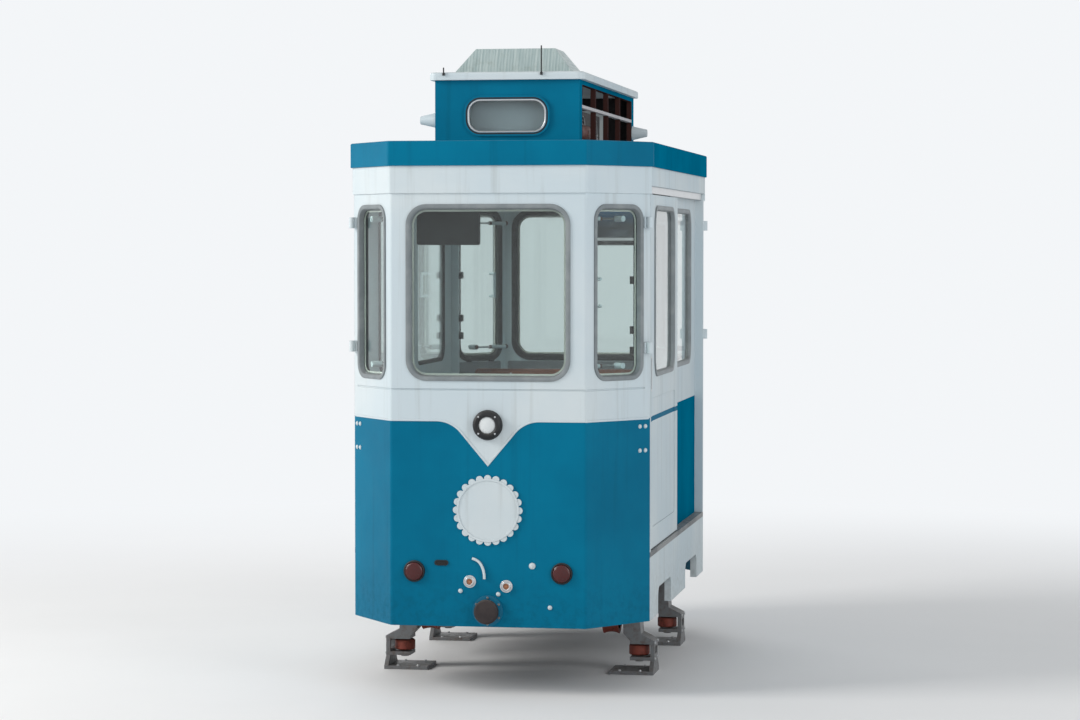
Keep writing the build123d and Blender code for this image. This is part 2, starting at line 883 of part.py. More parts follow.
# Gear inside each corner window: two gas struts on feet, and a white grip on the pane
strut_heights = (
    window_middle - window_height / 2 + strut_from_window_edge,
    window_middle + window_height / 2 - strut_from_window_edge,
)
with BuildPart() as corner_window_gear:
    for side, end in corners:
        inner = side * end
        inside = chamfer_plane(side, end).offset(-wall - fit)
        on_glass = chamfer_plane(side, end).offset(-(wall + pane) / 2 - fit)
        wall_x = inner * (corner_window_width / 2 + strut_foot / 2)
        glass_x = wall_x - inner * strut_length
        lift = strut_stand_off + strut_sleeve_diameter / 2
        for z in strut_heights:
            with BuildSketch(inside):
                with Locations((wall_x, z)):
                    Rectangle(strut_foot / 2, strut_foot)
            extrude(amount=-lift)
            with BuildSketch(on_glass):
                with Locations((glass_x, z)):
                    Circle(strut_foot / 2)
            extrude(amount=-(lift + (wall - pane) / 2))
            rod_axis = Plane(
                origin=inside.offset(-lift).from_local_coords((wall_x, z)),
                x_dir=(0, 0, 1),
                z_dir=inside.x_dir * -inner,
            )
            with BuildSketch(rod_axis):
                Circle(strut_rod_diameter / 2)
            extrude(amount=strut_length)
            with BuildSketch(rod_axis):
                Circle(strut_sleeve_diameter / 2)
            extrude(amount=strut_sleeve_length)
        grip_x = inner * (corner_window_width / 2 - strut_from_window_edge)
        for z in (window_middle - grip_height / 2, window_middle + grip_height / 2):
            with BuildSketch(on_glass):
                with Locations((grip_x, z)):
                    Circle(grip_diameter / 2)
            extrude(amount=-grip_reach)
        grip_middle = on_glass.offset(-grip_reach).from_local_coords((grip_x, window_middle))
        with BuildSketch(Plane(origin=grip_middle, x_dir=inside.x_dir, z_dir=(0, 0, 1))):
            Circle(grip_diameter / 2)
        extrude(amount=(grip_height + grip_diameter) / 2, both=True)
finish(corner_window_gear, "corner_window_gear")

# Benches of wooden planks on steel brackets, facing each other
bench_back_y = inner_end - bench_back_setback
plank_back_y = bench_back_y - bracket_thickness
seat_start = plank_back_y - plank - seat_plank_gap
seat_pitch = seat_plank_width + seat_plank_gap
seat_end = seat_start - seat_plank_count * seat_pitch + seat_plank_gap
back_pitch = back_plank_height + back_plank_gap
with BuildPart() as bench_planks:
    for end in end_signs:
        face = Plane(origin=(0, end * plank_back_y, 0), x_dir=(end, 0, 0), z_dir=(0, -end, 0))
        with BuildSketch(face):
            for row in range(back_plank_count):
                plank_z = floor_top + back_top - back_plank_height / 2 - row * back_pitch
                with Locations((0, plank_z)):
                    RectangleRounded(bench_width, back_plank_height, plank_corner)
        extrude(amount=plank)
        for row in range(seat_plank_count):
            y = seat_start - seat_plank_width / 2 - row * seat_pitch
            with Locations((0, end * y, floor_top + seat_height - plank / 2)):
                Box(bench_width, seat_plank_width, plank)
finish(bench_planks, "bench_planks")

arm_high = floor_top + seat_height - plank
leg_y = seat_end + bracket_foot
with BuildPart() as bench_brackets:
    for end in end_signs:
        for x in (-bracket_spacing / 2, bracket_spacing / 2):
            with BuildSketch(Plane.YZ.offset(x)):
                Polygon(
                    (end * bench_back_y, floor_top),
                    (end * bench_back_y, floor_top + back_top - plank),
                    (end * plank_back_y, floor_top + back_top - plank),
                    (end * plank_back_y, arm_high),
                    (end * seat_end, arm_high),
                    (end * seat_end, arm_high - bracket_width / 2),
                    (end * leg_y, arm_high - bracket_width),
                    (end * (leg_y + bracket_leg_slope), floor_top + bracket_thickness),
                    (end * leg_y, floor_top + bracket_thickness),
                    (end * leg_y, floor_top),
                    (end * (leg_y + bracket_leg_slope + bracket_foot), floor_top),
                    (end * (leg_y + bracket_width), arm_high - bracket_width),
                    (end * plank_back_y, arm_high - bracket_width),
                    (end * plank_back_y, floor_top),
                    align=None,
                )
            extrude(amount=bracket_width / 2, both=True)
finish(bench_brackets, "bench_brackets")

shelf_low = floor_top + back_top - back_plank_height
with BuildPart() as end_shelves:
    with BuildSketch(Plane.XY.offset(shelf_low)):
        Polygon(*plan(wall + fit), align=None)
        Rectangle(body_width, 2 * bench_back_y, mode=Mode.SUBTRACT)
        with GridLocations(0, 2 * bench_back_y - bracket_thickness, 1, 2):
            Rectangle(bracket_spacing - bracket_width - 2 * fit, bracket_thickness)
    extrude(amount=shelf_thickness)
finish(end_shelves, "end_shelves")

# Consoles over the end windows, with two sunk control panels and a round lamp, and hanging screens
console_low = roof_pan_low - console_height
console_face_y = inner_end - console_depth
console_half_width = end_flat - wall
with BuildPart() as header_consoles:
    for end in end_signs:
        with BuildSketch(Plane.YZ.offset(-console_half_width)):
            Polygon(
                (end * (inner_end - fit), roof_pan_low - fit),
                (end * console_face_y, roof_pan_low - fit),
                (end * console_face_y, roof_pan_low - console_lip),
                (end * (inner_end - fit), console_low),
                align=None,
            )
        extrude(amount=2 * console_half_width)
        face = Plane(origin=(0, end * console_face_y, 0), x_dir=(end, 0, 0), z_dir=(0, -end, 0))
        with BuildSketch(face):
            with Locations((0, roof_pan_low - console_lip / 2)):
                with GridLocations(2 * control_panel_offset, 0, 2, 1):
                    RectangleRounded(control_panel_width, control_panel_height, control_panel_corner)
        extrude(amount=-control_panel_depth, mode=Mode.SUBTRACT)
        soffit_y = end * (inner_end - console_depth / 2)
        soffit_z = (console_low + roof_pan_low - console_lip) / 2
        slope_out = (0, -end * (console_height - console_lip), -console_depth)
        with BuildSketch(Plane(origin=(0, soffit_y, soffit_z), x_dir=(1, 0, 0), z_dir=slope_out)):
            Circle(ceiling_lamp_diameter / 2)
        extrude(amount=-ceiling_lamp_depth, mode=Mode.SUBTRACT)
finish(header_consoles, "header_consoles")

soffit_fall = (console_height - console_lip) / console_depth
hanger_far = screen_from_face + (screen_thickness + hanger_plate_thickness) / 2
hanger_high = roof_pan_low - console_lip - soffit_fall * hanger_far - fit
screen_high = hanger_high - hanger_plate_height
screen_x = console_half_width - screen_width / 2 - screen_inset
with BuildPart() as screens:
    for end in end_signs:
        face = Plane(origin=(0, end * console_face_y, 0), x_dir=(end, 0, 0), z_dir=(0, -end, 0))
        with BuildSketch(face.offset(-screen_from_face)):
            with Locations((screen_x, screen_high - screen_height / 2)):
                RectangleRounded(screen_width, screen_height, screen_corner)
        extrude(amount=-screen_thickness)
        with BuildSketch(face.offset(-screen_from_face)):
            with Locations((screen_x, screen_high - screen_height / 2)):
                Rectangle(screen_width - 2 * screen_bezel, screen_height - 2 * screen_bezel)
        extrude(amount=-screen_glass_depth, mode=Mode.SUBTRACT)
        plate_y = end * (console_face_y + screen_from_face + screen_thickness / 2)
        with Locations((end * screen_x, plate_y, screen_high)):
            Box(
                hanger_plate_width,
                hanger_plate_thickness,
                hanger_plate_height,
                align=middle_foot,
            )
finish(screens, "screens")

# Underframe: channel sole bars, cross bars, bolsters with centre plates and kingpins
axle_z = tube_top + wheel_diameter / 2
tread_radius = tube_diameter / 2 + tread_clearance
tread_rise = tread_radius - sqrt(tread_radius**2 - (wheel_width / 2) ** 2)
wheel_edge = wheel_diameter / 2 + tread_rise
beam_low = axle_z + wheel_edge + wheel_clearance
beam_high = beam_low + beam_height
sole_low = floor_bottom - sole_bar_height
cross_bar_y = inner_end - cross_bar_from_end - cross_bar_width / 2
bogie_places = [(0, -bogie_spacing / 2), (0, bogie_spacing / 2)]
with BuildPart() as underframe:
    with BuildSketch(Plane.XY.offset(sole_low)):
        with GridLocations(sole_bar_spacing, 0, 2, 1):
            Rectangle(sole_bar_width, 2 * inner_end - 2 * fit)
    extrude(amount=sole_bar_height)
    for side in sides:
        channel_x = side * (sole_bar_spacing + sole_bar_width - sole_channel_depth) / 2
        with Locations((channel_x, 0, sole_low + sole_bar_height / 2)):
            Box(
                sole_channel_depth,
                2 * inner_end,
                sole_bar_height - 2 * sole_channel_wall,
                mode=Mode.SUBTRACT,
            )
    with BuildSketch(Plane.XY.offset(sole_low)):
        with Locations((0, cross_bar_y), (0, -cross_bar_y), (0, 0)):
            Rectangle(sole_bar_spacing, cross_bar_width)
        with Locations(*bogie_places):
            Rectangle(2 * (half_width - skirt_wall), bolster_width)
    extrude(amount=sole_bar_height)
    with BuildSketch(Plane.XY.offset(beam_high + fit)):
        with Locations(*bogie_places):
            Circle(centre_plate_diameter / 2)
    extrude(amount=sole_low - beam_high - fit)
    with BuildSketch(Plane.XY.offset(beam_low)):
        with Locations(*bogie_places):
            Circle(kingpin_diameter / 2)
    extrude(amount=sole_low - beam_low)
finish(underframe, "underframe")

# Bogies: a bellied beam with axle boxes, and carriers that reach round the outside of each tube
axle_box_x = rail_x - axle_box_inset
axle_box_low = axle_z - axle_diameter / 2 - axle_box_drop
guide_x = rail_x + tube_diameter / 2 + guide_tube_gap + guide_wheel_diameter / 2
fork_low = tube_centre - guide_wheel_height / 2 - guide_side_gap
fork_high = tube_centre + guide_wheel_height / 2 + guide_side_gap
column_inner = rail_x + wheel_width / 2 + 2 * wheel_clearance
column_outer = half_width - beam_end_inset
carrier_reach = half_width - carrier_inset
fork_start = rail_x + tube_diameter / 2 + claw_gap
web_x = carrier_reach - carrier_web
belly_end = beam_belly_length / 2

for name, end in ends:
    bogie_y = end * bogie_spacing / 2
    # This plane faces -Y, so its local x is X and its local y is Z
    across = Plane.XZ.offset(-bogie_y)
    with BuildPart() as bogie:
        with BuildSketch(across):
            Polygon(
                (-column_outer, beam_low),
                (-belly_end - beam_slope_length, beam_low),
                (-belly_end, beam_low - beam_belly),
                (belly_end, beam_low - beam_belly),
                (belly_end + beam_slope_length, beam_low),
                (column_outer, beam_low),
                (column_outer, beam_high),
                (-column_outer, beam_high),
                align=None,
            )
        extrude(amount=beam_width / 2, both=True)
        with BuildSketch(Plane.XY.offset(beam_low - beam_belly)):
            with Locations((0, bogie_y)):
                Circle(kingpin_diameter / 2 + pin_clearance)
        extrude(amount=beam_height + beam_belly, mode=Mode.SUBTRACT)
        for side in sides:
            with Locations((side * axle_box_x, bogie_y, axle_box_low)):
                Box(axle_box_width, beam_width, beam_low - axle_box_low, align=middle_foot)
            with BuildSketch(Plane.YZ.offset(side * axle_box_x)):
                with Locations((bogie_y, axle_z)):
                    Circle(axle_box_cap / 2)
            extrude(amount=axle_box_width / 2 + axle_box_cap_depth, both=True)
            with BuildSketch(across):
                Polygon(
                    (side * column_inner, beam_high),
                    (side * column_outer, beam_high),
                    (side * column_outer, beam_low),
                    (side * (column_outer + carrier_plate), fork_high + carrier_shoulder),
                    (side * carrier_reach, fork_high + carrier_plate),
                    (side * carrier_reach, 0),
                    (side * web_x, 0),
                    (side * web_x, fork_low - carrier_plate),
                    (side * fork_start, fork_low - carrier_plate),
                    (side * fork_start, fork_low),
                    (side * web_x, fork_low),
                    (side * web_x, fork_high),
                    (side * fork_start, fork_high),
                    (side * fork_start, fork_high + carrier_plate),
                    (side * column_inner, tube_top),
                    align=None,
                )
            extrude(amount=carrier_width / 2, both=True)
            claw_x = side * (rail_x + carrier_reach) / 2
            with Locations((claw_x, bogie_y, 0)):
                Box(carrier_reach - rail_x, carrier_claw_length, claw_thickness, align=middle_foot)
            with BuildSketch(Plane.YZ.offset(side * web_x)):
                Polygon(
                    (bogie_y - carrier_claw_length / 2, claw_thickness),
                    (bogie_y - carrier_width / 2, claw_thickness + carrier_gusset),
                    (bogie_y + carrier_width / 2, claw_thickness + carrier_gusset),
                    (bogie_y + carrier_claw_length / 2, claw_thickness),
                    align=None,
                )
            extrude(amount=side * carrier_web)
            with BuildSketch(Plane.YZ.offset(side * carrier_reach)):
                with Locations((bogie_y, tube_centre)):
                    RectangleRounded(carrier_window_length, carrier_window_height, carrier_window_corner)
            extrude(amount=-side * carrier_web, mode=Mode.SUBTRACT)
            with BuildSketch(Plane.XY.offset(fork_low - carrier_plate)):
                with Locations((side * guide_x, bogie_y)):
                    Circle(guide_pin_diameter / 2)
            extrude(amount=fork_high - fork_low + carrier_plate)
            with BuildSketch(Plane.XY.offset(fork_low - carrier_plate)):
                with Locations((side * guide_x, bogie_y)):
                    Circle(guide_pin_head / 2)
            extrude(amount=-guide_pin_head_height)
        with BuildSketch(Plane.YZ):
            with Locations((bogie_y, axle_z)):
                Circle(axle_diameter / 2 + pin_clearance)
        extrude(amount=rail_x, both=True, mode=Mode.SUBTRACT)
    finish(bogie, f"{name}_bogie")

    with BuildPart() as wheelset:
        with BuildSketch(Plane.YZ):
            with Locations((bogie_y, axle_z)):
                Circle(axle_diameter / 2)
        extrude(amount=rail_x, both=True)
        for side in sides:
            wheel_inner = side * (rail_x - wheel_width / 2)
            wheel_outer = side * (rail_x + wheel_width / 2)
            with BuildSketch(across):
                with BuildLine():
                    Polyline((wheel_inner, axle_z), (wheel_inner, axle_z + wheel_edge))
                    ThreePointArc(
                        (wheel_inner, axle_z + wheel_edge),
                        (side * rail_x, axle_z + wheel_diameter / 2),
                        (wheel_outer, axle_z + wheel_edge),
                    )
                    Polyline(
                        (wheel_outer, axle_z + wheel_edge),
                        (wheel_outer, axle_z + wheel_edge - rim_thickness),
                        (wheel_outer - side * hub_recess, axle_z + wheel_edge - rim_thickness),
                        (wheel_outer - side * hub_recess, axle_z + hub_diameter / 2),
                        (wheel_outer, axle_z + hub_diameter / 2),
                        (wheel_outer, axle_z),
                        (wheel_inner, axle_z),
                    )
                make_face()
            revolve(axis=Axis((0, bogie_y, axle_z), (1, 0, 0)))
    finish(wheelset, f"{name}_wheelset")

    for side_name, side in (("right", 1), ("left", -1)):
        with BuildPart() as guide_wheel:
            with BuildSketch(across):
                with BuildLine():
                    bore_x = side * guide_x + guide_pin_diameter / 2 + pin_clearance
                    hub_x = side * guide_x + guide_hub_diameter / 2
                    edge_x = side * guide_x + guide_wheel_diameter / 2
                    low = fork_low + guide_side_gap
                    high = fork_high - guide_side_gap
                    Polyline(
                        (bore_x, low),
                        (hub_x, low),
                        (hub_x, low + guide_hub_recess),
                        (edge_x - guide_wheel_rim, low + guide_hub_recess),
                        (edge_x - guide_wheel_rim, low),
                        (edge_x - guide_wheel_chamfer, low),
                        (edge_x, low + guide_wheel_chamfer),
                        (edge_x, high - guide_wheel_chamfer),
                        (edge_x - guide_wheel_chamfer, high),
                        (edge_x - guide_wheel_rim, high),
                        (edge_x - guide_wheel_rim, high - guide_hub_recess),
                        (hub_x, high - guide_hub_recess),
                        (hub_x, high),
                        (bore_x, high),
                        close=True,
                    )
                make_face()
            revolve(axis=Axis((side * guide_x, bogie_y, tube_centre), (0, 0, 1)))
        finish(guide_wheel, f"{name}_{side_name}_guide_wheel")

# Traction motor, bolted to the inner side of the rear bogie's beam
motor_y = bogie_spacing / 2 - beam_width / 2
with BuildPart() as traction_motor:
    with BuildSketch(Plane.XZ.offset(-motor_y)):
        with Locations((0, beam_high - motor_height / 2)):
            RectangleRounded(motor_width, motor_height, motor_corner)
    extrude(amount=motor_length)
finish(traction_motor, "traction_motor")
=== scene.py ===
"""Looks of the tourist rail capsule: finishes, seals, lamps, lining, bolts and the studio round it."""
import math

import bmesh
import bpy
import numpy as np
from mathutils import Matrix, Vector


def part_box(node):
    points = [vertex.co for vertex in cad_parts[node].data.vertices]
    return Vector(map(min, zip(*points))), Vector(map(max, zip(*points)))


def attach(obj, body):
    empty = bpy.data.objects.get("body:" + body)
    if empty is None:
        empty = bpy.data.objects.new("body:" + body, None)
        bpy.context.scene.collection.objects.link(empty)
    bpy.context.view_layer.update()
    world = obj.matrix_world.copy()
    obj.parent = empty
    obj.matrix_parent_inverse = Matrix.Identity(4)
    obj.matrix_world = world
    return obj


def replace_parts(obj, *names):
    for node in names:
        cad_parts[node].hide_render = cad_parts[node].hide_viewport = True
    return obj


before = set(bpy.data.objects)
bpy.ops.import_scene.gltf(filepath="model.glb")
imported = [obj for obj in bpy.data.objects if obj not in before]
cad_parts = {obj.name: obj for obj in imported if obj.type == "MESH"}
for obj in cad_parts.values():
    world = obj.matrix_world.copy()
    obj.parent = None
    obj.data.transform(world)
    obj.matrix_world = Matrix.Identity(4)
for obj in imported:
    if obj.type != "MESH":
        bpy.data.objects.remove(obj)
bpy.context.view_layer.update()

# Sizes read from the frame, in metres
APRON_LOW, APRON_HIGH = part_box("front_apron")
SKIRT_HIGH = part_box("side_skirts")[1]
BASE = APRON_LOW.z
BORDER = APRON_HIGH.z
HALF_LENGTH = -APRON_LOW.y
HALF_WIDTH = SKIRT_HIGH.x
SIDE_END = SKIRT_HIGH.y
FLOOR_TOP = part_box("floor_pan")[1].z
SIDE_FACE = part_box("side_panels")[1].x
LEAF_LOW, LEAF_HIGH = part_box("right_door_leaf")
LEAF_FACE = LEAF_HIGH.x
LEAF_THICKNESS = LEAF_HIGH.x - LEAF_LOW.x
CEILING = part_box("roof_pan")[0].z
ROOF_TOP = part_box("roof_pan")[1].z
PLATE_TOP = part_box("roof_plate")[1].z
AXLE_Z = (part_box("front_wheelset")[0].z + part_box("front_wheelset")[1].z) / 2
BOGIE_Y = (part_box("rear_bogie")[0].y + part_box("rear_bogie")[1].y) / 2
SCREEN_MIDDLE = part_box("screens")[0].z + 0.140

# Sizes that the shell and its windows share with the frame
WALL = 0.050
SIDE_WALL = 0.040
SIDE_INNER = SIDE_FACE - SIDE_WALL
PANE = 0.008
CORNER_ACROSS = 0.300
CORNER_ALONG = HALF_LENGTH - SIDE_END
CORNER_ROUND = 0.022
WINDOW_MIDDLE = BASE + 1.851
WINDOW_HEIGHT = 0.968
SILL = WINDOW_MIDDLE - WINDOW_HEIGHT / 2
SIDE_WINDOW_PLACE = 0.610
DIP_HALF_WIDTH = 0.290
DIP_DEPTH = 0.244
DIP_ARC_RADIUS = 0.183
DIP_SLOPE = math.radians(50)
SIDES = (-1, 1)
ENDS = (-1, 1)

# Gaps between a fitting or a lining and the face it lies on
GAP = 0.0004
LINING_GAP = 0.0005

# Widths, heights and corner radii of the openings
END_WINDOW = (0.915, WINDOW_HEIGHT, 0.110)
CORNER_WINDOW = (0.380, WINDOW_HEIGHT, 0.085)
SIDE_WINDOW = (0.900, WINDOW_HEIGHT, 0.110)
SIGN = (0.455, 0.190, 0.075)

X, Y, Z = np.eye(3)


def vec(x, y, z):
    """One point or direction as an array."""
    return np.array((x, y, z), float)


def unit(v):
    """The same direction with length one, for one vector or a whole array of them."""
    v = np.asarray(v, float)
    return v / np.linalg.norm(v, axis=-1, keepdims=True)


def srgb(red, green, blue):
    """Linear colour of a screen colour given in 0 to 255."""
    c = np.array((red, green, blue)) / 255
    linear = np.where(c <= 0.04045, c / 12.92, ((c + 0.055) / 1.055) ** 2.4)
    return (*[float(v) for v in linear], 1.0)


# Frames of the flat faces: a point, then the directions across, up and outwards
def end_face(end, inset=0.0):
    """Flat face of one end: across is to the right for someone who looks at it from outside."""
    return end * (HALF_LENGTH - inset) * Y, -end * X, Z, end * Y


def corner_face(side, end, inset=0.0):
    """Slanted corner face, with its origin at the middle of its width."""
    outward = unit(vec(side * CORNER_ALONG, end * CORNER_ACROSS, 0))
    middle = vec(side * (HALF_WIDTH - CORNER_ACROSS / 2), end * (HALF_LENGTH - CORNER_ALONG / 2), 0)
    return middle - inset * outward, np.cross(Z, outward), Z, outward


def side_face(side, x):
    """Upright face along one side at distance x from the middle."""
    return side * x * X, side * Y, Z, side * X


def inside_of(face):
    """The same face as someone inside the car looks at it."""
    origin, across, up, outward = face
    return origin, -across, up, -outward


def on_face(face, u, v, w=0.0):
    """Points at u across, v up and w outwards on a face, as an array of shape (..., 3)."""
    origin, across, up, outward = face
    u, v, w = np.broadcast_arrays(np.asarray(u, float), np.asarray(v, float), np.asarray(w, float))
    return origin + u[..., None] * across + v[..., None] * up + w[..., None] * outward


# Meshes from arrays
def piece(name, points, faces, body, slot, material, smooth=35, bevel=0.0):
    """One object that rides a body, with its doubles merged and its faces turned outwards."""
    mesh = bpy.data.meshes.new(name)
    mesh.from_pydata(points.tolist(), [], faces)
    work = bmesh.new()
    work.from_mesh(mesh)
    bmesh.ops.remove_doubles(work, verts=work.verts, dist=1e-6)
    bmesh.ops.dissolve_degenerate(work, edges=work.edges, dist=1e-7)
    bmesh.ops.recalc_face_normals(work, faces=work.faces)
    work.to_mesh(mesh)
    work.free()
    mesh.polygons.foreach_set("use_smooth", np.ones(len(mesh.polygons), bool))
    mesh.set_sharp_from_angle(angle=math.radians(smooth))
    obj = bpy.data.objects.new(name, mesh)
    bpy.context.scene.collection.objects.link(obj)
    if bevel:
        rounding = obj.modifiers.new("rounding", "BEVEL")
        rounding.width = bevel
        rounding.segments = 2
        rounding.limit_method = "ANGLE"
        rounding.harden_normals = False
    mesh.materials.append(material)
    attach(obj, body)
    return obj


def grid_faces(rows, columns, wrap_rows=False, wrap_columns=False):
    """Quads of a rows x columns grid of points, joined round where it wraps."""
    r = np.arange(rows if wrap_rows else rows - 1)
    c = np.arange(columns if wrap_columns else columns - 1)
    r, c = np.meshgrid(r, c, indexing="ij")
    next_r, next_c = (r + 1) % rows, (c + 1) % columns
    quads = [r * columns + c, r * columns + next_c, next_r * columns + next_c, next_r * columns + c]
    return np.stack(quads, -1).reshape(-1, 4).tolist()


def carried(path, normals, binormals, section, closed=True):
    """Profile carried along a path: P(i, j) = path(i) + s(j) binormal(i) + t(j) normal(i)."""
    normals, binormals = (np.broadcast_to(v, path.shape)[:, None] for v in (normals, binormals))
    section = np.asarray(section, float)[None]
    points = path[:, None] + section[..., :1] * binormals + section[..., 1:] * normals
    rows, columns = points.shape[:2]
    faces = grid_faces(rows, columns, wrap_rows=closed, wrap_columns=True)
    if not closed:
        faces.append(list(range(columns)))
        faces.append([(rows - 1) * columns + j for j in range(columns)][::-1])
    return points, faces


def turned(profile, origin, axis, steps=48):
    """Surface of revolution: P(a, j) = origin + r(j) (cos a, sin a) across the axis + h(j) along it."""
    axis = unit(axis)
    first = unit(np.cross(axis, Z if abs(axis[2]) < 0.9 else X))
    second = np.cross(axis, first)
    angle = np.linspace(0, 2 * np.pi, steps, endpoint=False)
    ring = np.cos(angle)[:, None] * first + np.sin(angle)[:, None] * second
    profile = np.asarray(profile, float)
    points = origin + profile[None, :, :1] * ring[:, None] + profile[None, :, 1:] * axis
    closed = profile[0, 0] > 1e-6 or profile[-1, 0] > 1e-6
    return points, grid_faces(steps, len(profile), wrap_rows=True, wrap_columns=closed)


def rounded_loop(width, height, radius, arc):
    """Rounded rectangle about the origin: points and outward directions, corner arcs of equal steps."""
    turn = np.linspace(0, np.pi / 2, arc)
    quarter = np.stack([np.cos(turn), np.sin(turn)], -1)
    quarter_turn = np.array([[0, 1], [-1, 0]])
    places, outward = [], []
    for k, (sx, sy) in enumerate(((1, 1), (-1, 1), (-1, -1), (1, -1))):
        out = quarter @ np.linalg.matrix_power(quarter_turn, k)
        places.append(np.array([sx * (width / 2 - radius), sy * (height / 2 - radius)]) + radius * out)
        outward.append(out)
    return np.concatenate(places), np.concatenate(outward)


def rectangle(width, height):
    """Corners of a rectangle about the origin."""
    return np.array([(-width, -height), (width, -height), (width, height), (-width, height)]) / 2


def disc(radius, low, high):
    """Profile of a plain round bar or disc from one height to another."""
    return [(0.0, low), (radius, low), (radius, high), (0.0, high)]


class Mesh:
    """Collects closed forms into one mesh; each way to add a form gives the mesh back."""

    def __init__(self):
        self.points = []
        self.faces = []
        self.count = 0

    def add(self, points, faces):
        """Adds points of any grid shape and faces that count from 0."""
        points = np.asarray(points, float).reshape(-1, 3)
        self.points.append(points)
        self.faces += [[i + self.count for i in f] for f in faces]
        self.count += len(points)
        return self

    def turn(self, profile, origin, axis, steps=48):
        """Adds a surface of revolution."""
        return self.add(*turned(profile, origin, axis, steps))

    def carry(self, path, normals, binormals, section, closed=True):
        """Adds a profile carried along a path."""
        return self.add(*carried(path, normals, binormals, section, closed))

    def slab(self, outline, face, low, high):
        """Adds a closed plate: an outline (u, v) on a face, from w = low to w = high."""
        count = len(outline)
        points = [on_face(face, outline[:, 0], outline[:, 1], w) for w in (low, high)]
        ends = [list(range(count))[::-1], list(range(count, 2 * count))]
        return self.add(np.stack(points), grid_faces(2, count, wrap_columns=True) + ends)

    def plate(self, face, at, size, low, high, arc=4):
        """Adds a plate with round corners; its size is width, height and corner radius."""
        return self.slab(rounded_loop(*size, arc)[0] + np.array(at), face, low, high)

    def ring(self, face, at, outer, inner, low, high, arc=4):
        """Adds a flat ring between two rounded rectangles."""
        outer, inner = (rounded_loop(*size, arc)[0] + np.array(at) for size in (outer, inner))
        loops = [(outer, low), (outer, high), (inner, high), (inner, low)]
        points = [on_face(face, loop[:, 0], loop[:, 1], w) for loop, w in loops]
        return self.add(np.stack(points), grid_faces(4, len(outer), wrap_rows=True, wrap_columns=True))

    def fasten(self, form, places, axis, up=Z):
        """Adds a small form at many places k: P(k, i) = place(k) + x(i) across + y(i) up + z(i) axis."""
        points, faces = form
        axis = unit(axis)
        across = unit(np.cross(up, axis))
        frame_of_form = np.stack([across, np.cross(axis, across), axis])
        places = np.asarray(places, float)
        starts = np.arange(len(places)) * len(points)
        copies = [[int(i + start) for i in f] for start in starts for f in faces]
        return self.add(places[:, None] + points @ frame_of_form, copies)

    def form(self):
        """All points and faces, to be placed many times."""
        return np.concatenate(self.points), self.faces

    def piece(self, name, body, slot, material, **extra):
        """Turns what was collected into one object."""
        return piece(name, *self.form(), body, slot, material, **extra)


def dome(radius, height, steps, rows):
    """Low round head that stands on z = 0: a cap r = R cos t, z = H sin t, closed below."""
    t = np.linspace(0, np.pi / 2, rows)
    cap = np.stack([radius * np.cos(t), height * np.sin(t)], -1)
    return Mesh().turn(np.concatenate([[(0.0, 0.0)], cap]), 0 * Z, Z, steps).form()


def hexagon_bolt(across_flats, height, washer):
    """Hexagon head on a round washer that stands on z = 0."""
    corner = across_flats / math.sqrt(3)
    foot = height / 4
    head = [(0, foot), (corner, foot), (corner, 0.9 * height), (0.9 * corner, height), (0, height)]
    return Mesh().turn(disc(washer, 0.0, foot), 0 * Z, Z, 18).turn(head, 0 * Z, Z, 6).form()


def ring_of(centre, first, second, radius, count, start=0.0):
    """Places on a circle: centre + R (cos a first + sin a second)."""
    angle = start + np.arange(count) * 2 * np.pi / count
    return centre + radius * (np.cos(angle)[:, None] * first + np.sin(angle)[:, None] * second)


# Node trees
def spaced(label):
    """Socket name of a keyword, such as Base_Color."""
    return label.replace("_", " ")


